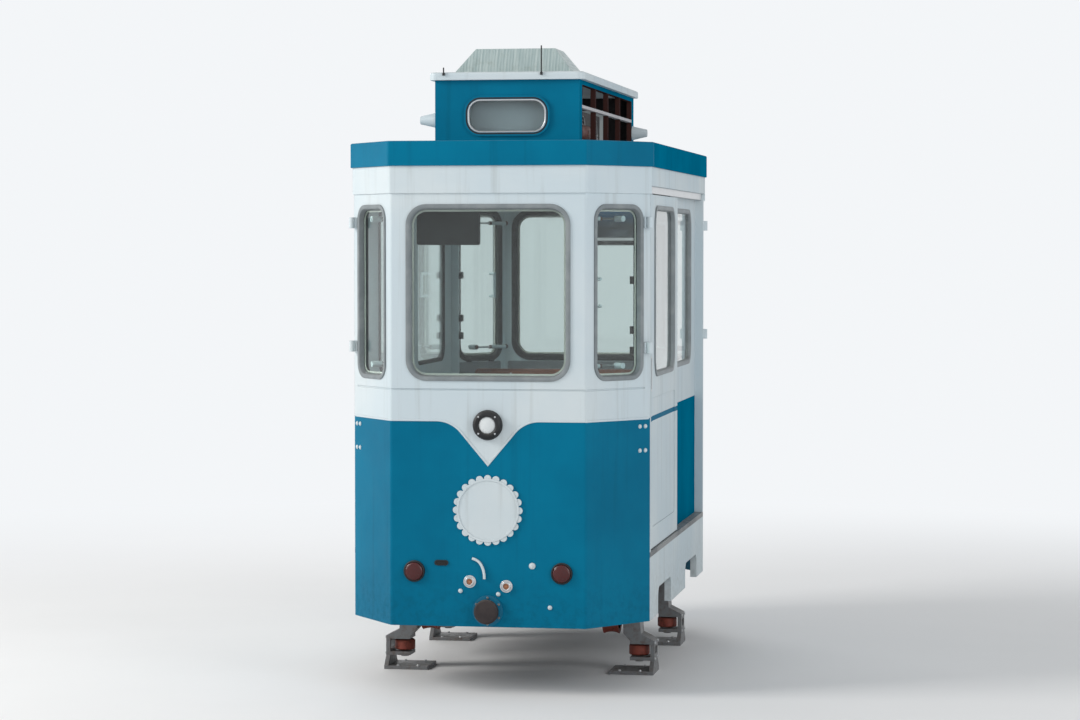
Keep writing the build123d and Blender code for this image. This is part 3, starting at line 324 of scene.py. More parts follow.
class Tree:
    """Short way to lay nodes in a material, a world or a node group."""

    def __init__(self, tree):
        self.tree = tree
        self.column = 0

    def put(self, value, socket):
        """Links a result to an input, or writes a number or colour into it."""
        if isinstance(value, bpy.types.NodeSocket):
            self.tree.links.new(value, socket)
        else:
            socket.default_value = value

    def node(self, kind, values=None, **settings):
        """Adds one node; values are numbers, colours or sockets for its inputs."""
        made = self.tree.nodes.new(kind)
        self.column += 1
        made.location = (self.column * 190, -60 * (self.column % 5))
        for key, setting in settings.items():
            setattr(made, key, setting)
        for key, value in (values or {}).items():
            self.put(value, made.inputs[key])
        return made

    def out(self, kind, output, values=None, **settings):
        """Adds one node and returns one of its outputs."""
        return self.node(kind, values, **settings).outputs[output]

    def group(self, group, **values):
        """Adds one of the shared node groups with its own values and returns its outputs."""
        named = {spaced(label): value for label, value in values.items()}
        return self.node("ShaderNodeGroup", named, node_tree=group).outputs

    def math(self, operation, a, b=0.0, c=0.0, clamp=False):
        """One arithmetic step."""
        return self.out("ShaderNodeMath", 0, {0: a, 1: b, 2: c}, operation=operation, use_clamp=clamp)

    def times(self, a, b, clamp=False):
        """Product of two values."""
        return self.math("MULTIPLY", a, b, clamp=clamp)

    def plus(self, a, b, clamp=False):
        """Sum of two values."""
        return self.math("ADD", a, b, clamp=clamp)

    def scaled(self, a, factor, start, clamp=False):
        """A value times a factor, plus a start."""
        return self.math("MULTIPLY_ADD", a, factor, start, clamp)

    def ramp(self, value, low, high, out_low=0.0, out_high=1.0):
        """Smooth step from low to high."""
        reach = {"From Min": low, "From Max": high, "To Min": out_low, "To Max": out_high}
        values = {"Value": value, **reach}
        return self.out("ShaderNodeMapRange", "Result", values, interpolation_type="SMOOTHSTEP")

    def mix(self, factor, a, b):
        """Mix of two colours."""
        return self.out("ShaderNodeMix", 2, {0: factor, 6: a, 7: b}, data_type="RGBA")

    def noise(self, vector, scale, detail=3.0, roughness=0.55):
        """Noise between about 0.25 and 0.75."""
        values = {"Vector": vector, "Scale": scale, "Detail": detail, "Roughness": roughness}
        return self.out("ShaderNodeTexNoise", "Fac", values)

    def vector(self, operation, values, output="Vector"):
        """One step of vector arithmetic."""
        return self.out("ShaderNodeVectorMath", output, values, operation=operation)

    def place(self):
        """Object coordinates."""
        return self.out("ShaderNodeTexCoord", "Object")

    def mapped(self, vector, *scale):
        """A vector multiplied by a scale along each axis."""
        return self.out("ShaderNodeMapping", "Vector", {"Vector": vector, "Scale": scale})

    def stretched(self, *scale):
        """Object coordinates multiplied by a scale along each axis."""
        return self.mapped(self.place(), *scale)

    def parts(self, vector):
        """The three numbers of a vector, by the names of their axes."""
        return self.node("ShaderNodeSeparateXYZ", {0: vector}).outputs

    def bump(self, height, distance, strength, **normal):
        """Normal of a height field in metres, laid over another normal where one is given."""
        values = {"Height": height, "Distance": distance, "Strength": strength, **normal}
        return self.out("ShaderNodeBump", "Normal", values)


class Effect(Tree):
    """A node group with named inputs and outputs that several materials share."""

    def __init__(self, name, **inputs):
        super().__init__(bpy.data.node_groups.new(name, "ShaderNodeTree"))
        for label, value in inputs.items():
            kind = "NodeSocketColor" if isinstance(value, tuple) else "NodeSocketFloat"
            socket = self.tree.interface.new_socket(name=spaced(label), in_out="INPUT", socket_type=kind)
            socket.default_value = value
        self.given = self.tree.nodes.new("NodeGroupInput").outputs

    def close(self, **results):
        """Names the outputs, links their results and returns the group."""
        kinds = {"Colour": "NodeSocketColor", "Normal": "NodeSocketVector"}
        for label in results:
            kind = kinds.get(label, "NodeSocketFloat")
            self.tree.interface.new_socket(name=label, in_out="OUTPUT", socket_type=kind)
        end = self.tree.nodes.new("NodeGroupOutput")
        end.location = (3200, 0)
        for label, socket in results.items():
            self.tree.links.new(socket, end.inputs[label])
        return self.tree


class Finish(Tree):
    """A material round one Principled shader; its inputs are given by socket name."""

    def __init__(self, name, **values):
        self.made = bpy.data.materials.new(name)
        self.made.use_nodes = True
        super().__init__(self.made.node_tree)
        self.shader = self.tree.nodes["Principled BSDF"]
        self.shader.location = (1500, 200)
        self.tree.nodes["Material Output"].location = (1900, 200)
        self.feed(**values)

    def feed(self, **values):
        """Puts numbers, colours or results into the shader and returns the material."""
        for label, value in values.items():
            self.put(value, self.shader.inputs[spaced(label)])
        return self.made

    def share(self, factor, other):
        """Mixes another shader over the Principled one by a factor."""
        values = {0: factor, 1: self.shader.outputs[0], 2: other.outputs[0]}
        both = self.node("ShaderNodeMixShader", values)
        self.tree.links.new(both.outputs[0], self.tree.nodes["Material Output"].inputs["Surface"])

    def inside_box(self, low, high, soft=0.0004):
        """Mask of a box of Object coordinates that is mirrored across both upright middle planes."""
        parts = self.parts(self.place())
        mask = 1.0
        for axis, least, most in zip("XYZ", low, high):
            place = parts[axis] if axis == "Z" else self.math("ABSOLUTE", parts[axis])
            mask = self.times(self.ramp(place, least - soft, least + soft), mask)
            mask = self.times(self.ramp(place, most - soft, most + soft, 1.0, 0.0), mask)
        return mask

    def marked(self, shown, marks):
        """Colours laid over boxes of the surface; each mark is (low corner, high corner, colour)."""
        for low, high, colour in marks:
            shown = self.mix(self.inside_box(low, high), shown, colour)
        return shown


def painted_film():
    """Sprayed paint: sun-faded patches, rain streaks, grime that gathers low down, and orange peel."""
    tree = Effect(
        "painted film", Paint=(0.5, 0.5, 0.5, 1), Faded=(0.6, 0.6, 0.6, 1), Grime=(0.2, 0.18, 0.15, 1),
        Streaks=0.2, Low_Grime=0.3, Gloss=0.25,
    )
    given = tree.given
    place = tree.stretched(1, 1, 1)
    patches = tree.ramp(tree.noise(place, 1.3, 4.0), 0.35, 0.68)
    colour = tree.mix(patches, given["Paint"], given["Faded"])
    runs = tree.ramp(tree.noise(tree.stretched(16, 16, 0.7), 1.0, 5.0, 0.6), 0.52, 0.74)
    colour = tree.mix(tree.times(runs, given["Streaks"]), colour, given["Grime"])
    low = tree.ramp(tree.parts(place)["Z"], BASE - 0.02, BASE + 0.42, 1.0, 0.0)
    spots = tree.ramp(tree.noise(place, 26.0, 6.0, 0.7), 0.42, 0.66)
    grime = tree.times(tree.times(low, spots), given["Low Grime"])
    colour = tree.mix(grime, colour, given["Grime"])
    rough = tree.scaled(tree.noise(place, 7.0, 5.0), 0.16, given["Gloss"])
    rough = tree.plus(rough, tree.times(grime, 0.4), clamp=True)
    peel = tree.noise(place, 240.0, 2.0)
    sag = tree.noise(place, 9.0, 2.0)
    return tree.close(Colour=colour, Roughness=rough, Height=tree.scaled(sag, 6.0, peel))


def worn_and_highlighted_edges():
    """Rounded edges: where the rounded normal leaves the flat one, the mask rises to one. Materials lighten
    their edges by this mask, partly as wear and partly as a painted highlight.
    """
    tree = Effect("worn and highlighted edges", Radius=0.003, Amount=1.0)
    rounded = tree.out("ShaderNodeBevel", "Normal", {"Radius": tree.given["Radius"]}, samples=4)
    flat = tree.out("ShaderNodeNewGeometry", "Normal")
    away = tree.math("SUBTRACT", 1.0, tree.vector("DOT_PRODUCT", {0: rounded, 1: flat}, "Value"))
    broken = tree.ramp(tree.noise(tree.stretched(1, 1, 1), 60.0, 4.0), 0.35, 0.6, 0.3, 1.0)
    mask = tree.times(tree.ramp(away, 0.01, 0.16), broken)
    return tree.close(Mask=tree.times(mask, tree.given["Amount"], clamp=True), Normal=rounded)


def settled_dust():
    """Dust on faces that look up, in soft patches."""
    tree = Effect("settled dust", Amount=0.5, Scale=8.0)
    up = tree.parts(tree.out("ShaderNodeNewGeometry", "Normal"))["Z"]
    cloud = tree.noise(tree.stretched(1, 1, 1), tree.given["Scale"], 6.0, 0.65)
    mask = tree.times(tree.ramp(up, 0.35, 0.95), tree.ramp(cloud, 0.3, 0.7, 0.25, 1.0))
    return tree.close(Mask=tree.times(mask, tree.given["Amount"], clamp=True))


def grained():
    """Grain along X: fine pores and broad bands, different on each plank by its height and place."""
    tree = Effect("wood grain", Light=(0.2, 0.1, 0.06, 1), Dark=(0.05, 0.02, 0.015, 1), Pitch=10.0)
    given = tree.given
    place = tree.place()
    parts = tree.parts(place)
    plank = tree.math("FLOOR", tree.times(parts["Y"], given["Pitch"]))
    storey = tree.math("FLOOR", tree.times(parts["Z"], 5.46))
    row = tree.plus(plank, tree.times(storey, 7.0))
    own = tree.out("ShaderNodeTexWhiteNoise", "Value", {"W": row}, noise_dimensions="1D")
    shift = tree.out("ShaderNodeCombineXYZ", 0, {0: tree.times(own, 31.0), 1: own, 2: own})
    moved = tree.vector("ADD", {0: place, 1: shift})
    figure = tree.noise(tree.mapped(moved, 0.8, 14, 14), 1.6, 6.0, 0.62)
    fine = tree.noise(tree.mapped(moved, 9, 330, 330), 1.0, 3.0, 0.7)
    tone = tree.plus(tree.times(figure, 0.8), tree.times(fine, 0.35))
    tone = tree.plus(tone, tree.scaled(own, 0.24, -0.17), clamp=True)
    colour = tree.mix(tree.ramp(tone, 0.3, 0.78), given["Dark"], given["Light"])
    height = tree.plus(fine, tree.times(figure, 0.6))
    return tree.close(Colour=colour, Roughness=tree.scaled(fine, 0.3, 0.26), Height=height)


def felted():
    """Pressed felt: short tangled fibres over soft cloudy patches."""
    tree = Effect("pressed felt", Fibre=(0.3, 0.3, 0.3, 1), Shade=(0.2, 0.2, 0.2, 1))
    place = tree.stretched(1, 1, 1)
    clouds = tree.noise(place, 5.0, 5.0)
    bent = tree.out("ShaderNodeTexNoise", "Color", {"Vector": place, "Scale": 35.0, "Detail": 2.0})
    twisted = tree.vector("ADD", {0: place, 1: tree.vector("SCALE", {0: bent, 3: 0.06})})
    fibres = tree.noise(twisted, 420.0, 4.0, 0.8)
    tone = tree.plus(tree.times(clouds, 0.22), tree.times(fibres, 0.85))
    colour = tree.mix(tree.ramp(tone, 0.30, 0.76), tree.given["Shade"], tree.given["Fibre"])
    return tree.close(Colour=colour, Height=fibres)


def worked_metal():
    """Rolled or cast metal: fine lines along one axis, stains and small pits."""
    tree = Effect(
        "worked metal", Metal=(0.5, 0.5, 0.5, 1), Stain=(0.2, 0.15, 0.12, 1),
        Stains=0.3, Gloss=0.3, Scale=30.0,
    )
    given = tree.given
    place = tree.stretched(1, 1, 1)
    lines = tree.noise(tree.stretched(14, 500, 500), 1.0, 2.0)
    blotches = tree.ramp(tree.noise(place, given["Scale"], 8.0, 0.7), 0.45, 0.72)
    stain = tree.times(blotches, given["Stains"], clamp=True)
    colour = tree.mix(stain, given["Metal"], given["Stain"])
    rough = tree.scaled(lines, 0.14, given["Gloss"])
    rough = tree.plus(rough, tree.times(stain, 0.4), clamp=True)
    pits = tree.noise(place, 190.0, 4.0, 0.7)
    return tree.close(Colour=colour, Roughness=rough, Height=tree.scaled(lines, 0.25, pits))


FILM = painted_film()
EDGE_WEAR_AND_HIGHLIGHT = worn_and_highlighted_edges()
DUST = settled_dust()
GRAIN = grained()
FELT = felted()
METAL = worked_metal()

# Finishes
PAINT_DUST = srgb(168, 162, 150)
METAL_DUST = srgb(120, 108, 94)
RUBBER_DUST = srgb(116, 110, 102)
RUST = srgb(126, 52, 36)
DEEP_RUST = srgb(74, 38, 30)


def paint(
    name, colour, faded, grime, streaks, low_grime, gloss, wear, worn_lit_edge,
    coat=0.2, dust=0.25, shine=0.4, marks=(),
):
    """Painted metal or moulding with edges lightened partly by wear and partly as a painted highlight; its
    shine fades out at grazing angles.
    """
    tree = Finish(name, Coat_Weight=coat, Coat_Roughness=0.12)
    facing = tree.out("ShaderNodeLayerWeight", "Facing", {"Blend": 0.5})
    level = tree.times(tree.ramp(facing, 0.5, 0.85, 1.0, 0.0), shine)
    film = tree.group(
        FILM, Paint=colour, Faded=faded, Grime=grime, Streaks=streaks, Low_Grime=low_grime, Gloss=gloss,
    )
    edges = tree.group(EDGE_WEAR_AND_HIGHLIGHT, Radius=0.003, Amount=wear)
    settled = tree.group(DUST, Amount=dust)["Mask"]
    shown = tree.marked(film["Colour"], marks)
    # edges lightened by the mask: partly worn paint, partly a painted highlight
    shown = tree.mix(edges["Mask"], shown, worn_lit_edge)
    shown = tree.mix(settled, shown, PAINT_DUST)
    rough = tree.scaled(settled, 0.35, film["Roughness"], clamp=True)
    normal = tree.bump(film["Height"], 0.00025, 0.35, Normal=edges["Normal"])
    return tree.feed(Base_Color=shown, Roughness=rough, Normal=normal, Specular_IOR_Level=level)


def metal(name, colour, stain, stains, gloss, worn_lit_edge, scale=30.0, metallic=1.0):
    """Bare, cast or painted steel with stains, pits and brighter edges, partly wear and partly a painted
    highlight.
    """
    tree = Finish(name, Metallic=metallic, Specular_IOR_Level=0.5)
    worked = tree.group(METAL, Metal=colour, Stain=stain, Stains=stains, Gloss=gloss, Scale=scale)
    edges = tree.group(EDGE_WEAR_AND_HIGHLIGHT, Radius=0.0025, Amount=0.5)
    settled = tree.group(DUST, Amount=0.2)["Mask"]
    # edges lightened by the mask: partly worn metal, partly a painted highlight
    shown = tree.mix(edges["Mask"], worked["Colour"], worn_lit_edge)
    shown = tree.mix(settled, shown, METAL_DUST)
    rough = tree.scaled(settled, 0.3, worked["Roughness"], clamp=True)
    normal = tree.bump(worked["Height"], 0.0004, 0.5, Normal=edges["Normal"])
    return tree.feed(Base_Color=shown, Roughness=rough, Normal=normal)


def rubber(name, colour, worn, gloss=0.55, scale=90.0, marks=()):
    """Rubber or matt plastic: dull, slightly greyed on edges (partly wear, partly a painted highlight) and
    where dust settles.
    """
    tree = Finish(name, Specular_IOR_Level=0.35)
    place = tree.stretched(1, 1, 1)
    mottled = tree.ramp(tree.noise(place, 12.0, 6.0), 0.4, 0.7)
    edges = tree.group(EDGE_WEAR_AND_HIGHLIGHT, Radius=0.002, Amount=0.45)
    settled = tree.group(DUST, Amount=0.35)["Mask"]
    # edges greyed by the mask: partly wear, partly a painted highlight
    grey = tree.math("MAXIMUM", edges["Mask"], tree.times(mottled, 0.35))
    shown = tree.marked(tree.mix(grey, colour, worn), marks)
    shown = tree.mix(settled, shown, RUBBER_DUST)
    skin = tree.noise(place, scale, 4.0, 0.7)
    rough = tree.scaled(skin, 0.3, gloss - 0.12, clamp=True)
    normal = tree.bump(skin, 0.0003, 0.35, Normal=edges["Normal"])
    return tree.feed(Base_Color=shown, Roughness=rough, Normal=normal)


def clear_pane(name, tint, smears=0.06, roughness=0.02):
    """Window glass that lets lamps through, with faint smears in its gloss."""
    tree = Finish(name, IOR=1.45, Transmission_Weight=1.0, Base_Color=tint)
    smear = tree.ramp(tree.noise(tree.stretched(1, 1, 1), 3.5, 6.0, 0.6), 0.5, 0.8)
    path = tree.node("ShaderNodeLightPath")
    open_to_lamps = tree.node("ShaderNodeBsdfTransparent", {"Color": tint})
    tree.share(path.outputs["Is Shadow Ray"], open_to_lamps)
    return tree.feed(Roughness=tree.scaled(smear, smears, roughness))


def plank_wood():
    """Dark oiled hardwood of the bench planks."""
    tree = Finish("oiled plank wood", Coat_Weight=0.18, Coat_Roughness=0.25)
    wood = tree.group(GRAIN, Light=srgb(132, 74, 50), Dark=srgb(58, 27, 19), Pitch=9.26)
    edges = tree.group(EDGE_WEAR_AND_HIGHLIGHT, Radius=0.004, Amount=0.5)
    # edges lightened: partly wear, partly a painted highlight
    shown = tree.mix(edges["Mask"], wood["Colour"], srgb(160, 104, 74))
    normal = tree.bump(wood["Height"], 0.0006, 0.45, Normal=edges["Normal"])
    return tree.feed(Base_Color=shown, Roughness=wood["Roughness"], Normal=normal)


def felt(name, fibre, shade):
    """Pressed grey felt lining."""
    tree = Finish(name, Specular_IOR_Level=0.2, Sheen_Weight=0.35, Sheen_Roughness=0.6, Roughness=0.95)
    fibres = tree.group(FELT, Fibre=fibre, Shade=shade)
    return tree.feed(Base_Color=fibres["Colour"], Normal=tree.bump(fibres["Height"], 0.0012, 0.6))


def wheel_finish():
    """Running wheels: rust-brown treads, painted recess and bare hub, told apart by the radius."""
    tree = Finish("running wheel", Specular_IOR_Level=0.45)
    place = tree.place()
    parts = tree.parts(place)
    along = tree.math("SUBTRACT", tree.math("ABSOLUTE", parts["Y"]), BOGIE_Y)
    above = tree.math("SUBTRACT", parts["Z"], AXLE_Z)
    squares = tree.plus(tree.math("POWER", along, 2.0), tree.math("POWER", above, 2.0))
    radius = tree.math("SQRT", squares)
    tread = tree.ramp(radius, 0.0935, 0.0955)
    hub = tree.ramp(radius, 0.0585, 0.0615, 1.0, 0.0)
    worked = tree.group(METAL, Metal=RUST, Stain=DEEP_RUST, Stains=0.8, Gloss=0.5)
    painted = tree.mix(tree.noise(place, 40.0, 6.0), srgb(66, 62, 60), srgb(96, 88, 82))
    bright = tree.mix(tree.noise(place, 90.0, 5.0), srgb(178, 176, 170), srgb(206, 204, 198))
    shown = tree.mix(hub, tree.mix(tread, painted, worked["Colour"]), bright)
    edges = tree.group(EDGE_WEAR_AND_HIGHLIGHT, Radius=0.002, Amount=0.6)
    # edges lightened: partly wear, partly a painted highlight
    shown = tree.mix(edges["Mask"], shown, srgb(150, 104, 84))
    rough = tree.scaled(hub, -0.25, worked["Roughness"], clamp=True)
    normal = tree.bump(worked["Height"], 0.0005, 0.5, Normal=edges["Normal"])
    return tree.feed(Base_Color=shown, Roughness=rough, Normal=normal, Metallic=tree.times(hub, 0.9))


def ribbed_lens(name, colour, deep, glow=0.0):
    """Moulded lens: small prisms in rows and columns, sin(k z) sin(k x), in its surface."""
    tree = Finish(name, Coat_Weight=0.25, Coat_Roughness=0.04, Specular_IOR_Level=0.35)
    place = tree.place()
    parts = tree.parts(place)
    rows, columns = (tree.math("SINE", tree.times(parts[axis], 900.0)) for axis in "ZX")
    prisms = tree.times(rows, columns)
    cloudy = tree.noise(place, 30.0, 4.0)
    shown = tree.mix(tree.ramp(prisms, -1.0, 1.0), deep, colour)
    shown = tree.mix(tree.times(cloudy, 0.3), shown, deep)
    if glow:
        tree.feed(Emission_Color=shown, Emission_Strength=glow)
    rough = tree.scaled(cloudy, 0.15, 0.1)
    return tree.feed(Base_Color=shown, Roughness=rough, Normal=tree.bump(prisms, 0.0006, 0.4))


def floor_sheet():
    """Rubber floor sheet with flecks and worn walking patches."""
    tree = Finish("flecked floor sheet", Specular_IOR_Level=0.35)
    place = tree.stretched(1, 1, 1)
    flecks = tree.ramp(tree.noise(place, 260.0, 1.0), 0.6, 0.64)
    worn = tree.ramp(tree.noise(place, 2.2, 5.0), 0.4, 0.65)
    shown = tree.mix(worn, srgb(92, 96, 99), srgb(112, 115, 116))
    shown = tree.mix(flecks, shown, srgb(168, 170, 168))
    normal = tree.bump(tree.noise(place, 300.0, 3.0), 0.0003, 0.4)
    return tree.feed(Base_Color=shown, Roughness=tree.scaled(worn, -0.15, 0.62), Normal=normal)


def lit_screen():
    """Screen glass with a plain picture: a pale bar at its top and bottom, blue over dark grey."""
    tree = Finish("screen glass", Coat_Weight=0.5, Coat_Roughness=0.05, Specular_IOR_Level=0.5)
    place = tree.place()
    height = tree.parts(place)["Z"]
    blue = tree.ramp(height, SCREEN_MIDDLE - 0.020, SCREEN_MIDDLE + 0.090)
    shown = tree.mix(blue, srgb(30, 40, 48), srgb(26, 86, 120))
    clouds = tree.ramp(tree.noise(tree.stretched(9, 9, 30), 1.0, 5.0), 0.45, 0.75)
    shown = tree.mix(tree.times(clouds, 0.5), shown, srgb(92, 108, 116))
    for low, high in ((0.092, 0.110), (-0.110, -0.092)):
        bar = tree.inside_box((-1, -1, SCREEN_MIDDLE + low), (1, 2, SCREEN_MIDDLE + high))
        shown = tree.mix(bar, shown, srgb(206, 208, 210))
    off_middle = tree.math("ABSOLUTE", tree.math("SUBTRACT", height, SCREEN_MIDDLE))
    shown = tree.mix(tree.ramp(off_middle, 0.1118, 0.1122), shown, srgb(12, 12, 14))
    tree.feed(Emission_Color=shown, Emission_Strength=0.35)
    return tree.feed(Base_Color=shown, Roughness=tree.scaled(tree.noise(place, 30.0), 0.1, 0.1))


def frosted_cover():
    """Weathered frosted sheet: milky grey-green, with patches of dirt and fine ribs down its slopes that
    are lighter along their crests.
    """
    tree = Finish("frosted roof cover", Coat_Weight=0.1, Coat_Roughness=0.3, Specular_IOR_Level=0.4)
    rib_pitch = 0.018
    place = tree.place()
    ribs = tree.math("SINE", tree.times(tree.parts(place)["X"], 2 * math.pi / rib_pitch))
    runs = tree.ramp(tree.noise(tree.stretched(70, 8, 3), 1.0, 6.0, 0.65), 0.35, 0.7)
    milky = tree.mix(runs, srgb(150, 168, 168), srgb(176, 190, 188))
    dirt = tree.ramp(tree.noise(place, 14.0, 6.0, 0.7), 0.52, 0.75)
    shown = tree.mix(tree.times(dirt, 0.35), milky, srgb(116, 126, 112))
    shown = tree.mix(tree.times(tree.ramp(ribs, 0.4, 1.0), 0.22), shown, srgb(214, 222, 220))
    edges = tree.group(EDGE_WEAR_AND_HIGHLIGHT, Radius=0.006, Amount=0.8)
    # edges lightened: partly wear, partly a painted highlight
    shown = tree.mix(edges["Mask"], shown, srgb(222, 228, 226))
    normal = tree.bump(ribs, 0.0012, 0.4, Normal=edges["Normal"])
    return tree.feed(Base_Color=shown, Roughness=tree.scaled(dirt, 0.25, 0.42), Normal=normal)


SEA_BLUE = srgb(0, 102, 134)
BLUE_LOOK = dict(
    colour=SEA_BLUE, faded=srgb(0, 113, 146), grime=srgb(8, 52, 60), streaks=0.14, low_grime=0.2,
    gloss=0.32, wear=0.3, worn_lit_edge=srgb(70, 146, 168), coat=0.0, dust=0.08, shine=0.07,
)
BLUE = paint("sea blue paint", **BLUE_LOOK)

# Roof frame: near-black inside as painted shade, red-brown in the barred openings and a pale middle rail
VENT_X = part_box("clerestory")[1].x
VENT_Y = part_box("clerestory")[1].y - 0.108
VENT_LOW = ROOF_TOP + 0.040
VENT_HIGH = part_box("clerestory")[1].z - 0.026
VENT_RAIL = VENT_LOW + 0.205
VENT_BACK = VENT_X - 0.031
FRAME_MARKS_WITH_SHADE = [
    # painted shade: the inside of the roof frame is coloured near-black where shade falls within it
    ((-1, -1, 0), (VENT_X - 0.029, VENT_Y + 0.079, 9), srgb(40, 38, 38)),
    ((VENT_BACK, -1, VENT_LOW - 0.001), (1, VENT_Y + 0.001, VENT_HIGH + 0.001), srgb(70, 44, 40)),
    ((VENT_BACK, -1, VENT_RAIL - 0.010), (1, VENT_Y - 0.001, VENT_RAIL + 0.010), srgb(196, 194, 196)),
]
FRAME_BLUE_WITH_SHADE = paint("blue roof frame paint with painted shade", **BLUE_LOOK, marks=FRAME_MARKS_WITH_SHADE)
WHITE_LOOK = dict(
    colour=srgb(196, 209, 215), faded=srgb(206, 215, 218), grime=srgb(134, 136, 130), streaks=0.24,
    low_grime=0.25, gloss=0.28, wear=0.3, worn_lit_edge=srgb(224, 229, 231), coat=0.08, dust=0.2,
)
WHITE = paint("cool white paint", **WHITE_LOOK)
DOOR_LINE = [((0, -1, BORDER - 0.028), (1, 2, BORDER), SEA_BLUE)]
DOOR_WHITE = paint("white door paint", **WHITE_LOOK, marks=DOOR_LINE)
CREAM = paint(
    "off-white lining paint", srgb(216, 214, 206), srgb(226, 223, 214), srgb(150, 144, 132),
    streaks=0.05, low_grime=0.0, gloss=0.35, wear=0.3, worn_lit_edge=srgb(240, 238, 232), coat=0.15, dust=0.2,
)
GLASS = clear_pane("clear window glass", (0.70, 0.77, 0.76, 1))
GREY_GLASS = clear_pane("grey sign glass", (0.56, 0.62, 0.64, 1), 0.12, 0.05)
RUBBER = rubber("black window rubber", srgb(20, 21, 23), srgb(58, 60, 62))
# painted light: the outer seal rubber is a lighter grey copy of the black inner rubber, partly weathering
# and partly standing in for light on it
GREY_RUBBER_LIGHTENED = rubber("weathered grey rubber with painted light", srgb(122, 129, 132), srgb(158, 163, 164), 0.5)
BUFFER_FOOT = [((-1, -1, -1), (1, HALF_LENGTH + 0.0125, 1), SEA_BLUE)]
BUFFER_RUBBER = rubber("brown-black buffer rubber", srgb(40, 33, 34), srgb(74, 64, 62), marks=BUFFER_FOOT)
PLASTIC = rubber("black moulded plastic", srgb(24, 25, 27), srgb(62, 64, 67), 0.45, 240.0)
DARK_STEEL = metal(
    "dark painted steel", srgb(48, 49, 52), srgb(70, 58, 50), 0.5, 0.45, srgb(120, 116, 110),
    metallic=0.2,
)
GREY_STEEL = metal(
    "grey carrier steel", srgb(112, 114, 116), srgb(92, 72, 56), 0.6, 0.42, srgb(170, 168, 164),
    metallic=0.3,
)
BRIGHT = metal("bright steel", srgb(196, 198, 200), srgb(150, 146, 138), 0.25, 0.22, srgb(226, 228, 230))
TREAD = metal("rust-brown wheel tread", RUST, DEEP_RUST, 0.8, 0.5, srgb(160, 92, 70), metallic=0.0)
WOOD = plank_wood()
FELT_GREY = felt("grey felt", srgb(150, 153, 156), srgb(96, 99, 103))
FLOOR = floor_sheet()
WHEEL = wheel_finish()
LENS_WHITE = ribbed_lens("white lamp lens", srgb(236, 238, 236), srgb(176, 184, 188), glow=0.12)
LENS_RED = ribbed_lens("dark red lamp lens", srgb(96, 20, 20), srgb(40, 8, 9))
DIFFUSER = ribbed_lens("frosted lamp cover", srgb(244, 243, 238), srgb(214, 214, 210), glow=0.35)
SCREEN = lit_screen()
PALE = frosted_cover()
KNOB_RED = rubber("red knob plastic", srgb(150, 24, 20), srgb(176, 60, 52), 0.35, 200.0)
KNOB_GREEN = rubber("green knob plastic", srgb(24, 110, 60), srgb(60, 140, 92), 0.35, 200.0)
COPPER = metal(
    "tarnished copper", srgb(176, 124, 96), srgb(96, 78, 66), 0.6, 0.35, srgb(214, 164, 134), scale=120.0,
)
OXIDE = metal(
    "red-brown primer", srgb(92, 50, 42), srgb(52, 34, 30), 0.6, 0.5, srgb(134, 88, 72), metallic=0.0,
)
BLIND = paint(
    "blank blind cloth", srgb(190, 198, 200), srgb(202, 208, 208), srgb(132, 134, 130),
    streaks=0.1, low_grime=0.0, gloss=0.7, wear=0.0, worn_lit_edge=srgb(210, 212, 212), coat=0.0, dust=0.3,
)

# Finish of each carried-over node
FINISHES = {
    BLUE: ["front_apron", "rear_apron", "side_panels", "roof_band", "end_shelves"],
    FRAME_BLUE_WITH_SHADE: ["clerestory"],
    WHITE: [
        "front_mask", "rear_mask", "side_frames", "side_skirts", "roof_pan", "roof_plate",
        "round_plates", "corner_hinges", "apron_fittings", "roof_horns", "corner_window_gear",
    ],
    DOOR_WHITE: ["right_door_leaf", "left_door_leaf"],
    PALE: ["roof_cover"],
    GLASS: ["end_panes", "corner_panes", "side_panes", "right_door_pane", "left_door_pane"],
    GREY_GLASS: ["sign_panes"],
    RUBBER: ["window_seals", "right_door_seal", "left_door_seal"],
    BUFFER_RUBBER: ["buffers"],
    BRIGHT: ["door_tracks"],
    DARK_STEEL: ["roof_unit", "bench_brackets", "underframe"],
    GREY_STEEL: ["front_bogie", "rear_bogie", "traction_motor"],
    WOOD: ["bench_planks"],
    CREAM: ["header_consoles"],
    PLASTIC: ["screens"],
    FLOOR: ["floor_pan"],
    WHEEL: ["front_wheelset", "rear_wheelset"],
    TREAD: [f"{end}_{side}_guide_wheel" for end in ("front", "rear") for side in ("right", "left")],
    LENS_WHITE: ["headlights"],
    LENS_RED: ["tail_lamps"],
}
for finish, names in FINISHES.items():
    for name in names:
        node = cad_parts[name]
        node.data.materials.clear()
        node.data.materials.append(finish)

# Window seals: a moulded profile round each opening, grey outside (weathered, and lightened as painted
# light) and black inside, with a lip given as (reach over the wall, rise from it), and a pale filler strip
# behind the pane
OUTER_LIP = (0.0050, 0.0090)
INNER_LIP = (0.0180, 0.0105)
LOW_LIP = (0.0050, 0.0028)
SEAL_BACK = 0.0003
SEAL_TO_GLASS = 0.0178
SEAL_OVER_GLASS = 0.0262
BEAD = np.array([(0.0256, 0.0), (0.0256, -0.0040), (0.0290, -0.0055), (0.0350, -0.0045), (0.0362, 0.0)])


def seal_profile(depth, lip):
    """Half of a seal from the middle of a wall out past its lip, as (inwards from the edge, outwards)."""
    glass = (PANE - depth) / 2
    return np.array([
        (SEAL_BACK, -depth / 2), *lip, (SEAL_OVER_GLASS - 0.0007, glass + 0.0035),
        (SEAL_OVER_GLASS, glass + 0.0004), (SEAL_TO_GLASS, glass + 0.0004), (SEAL_TO_GLASS, -depth / 2),
    ])


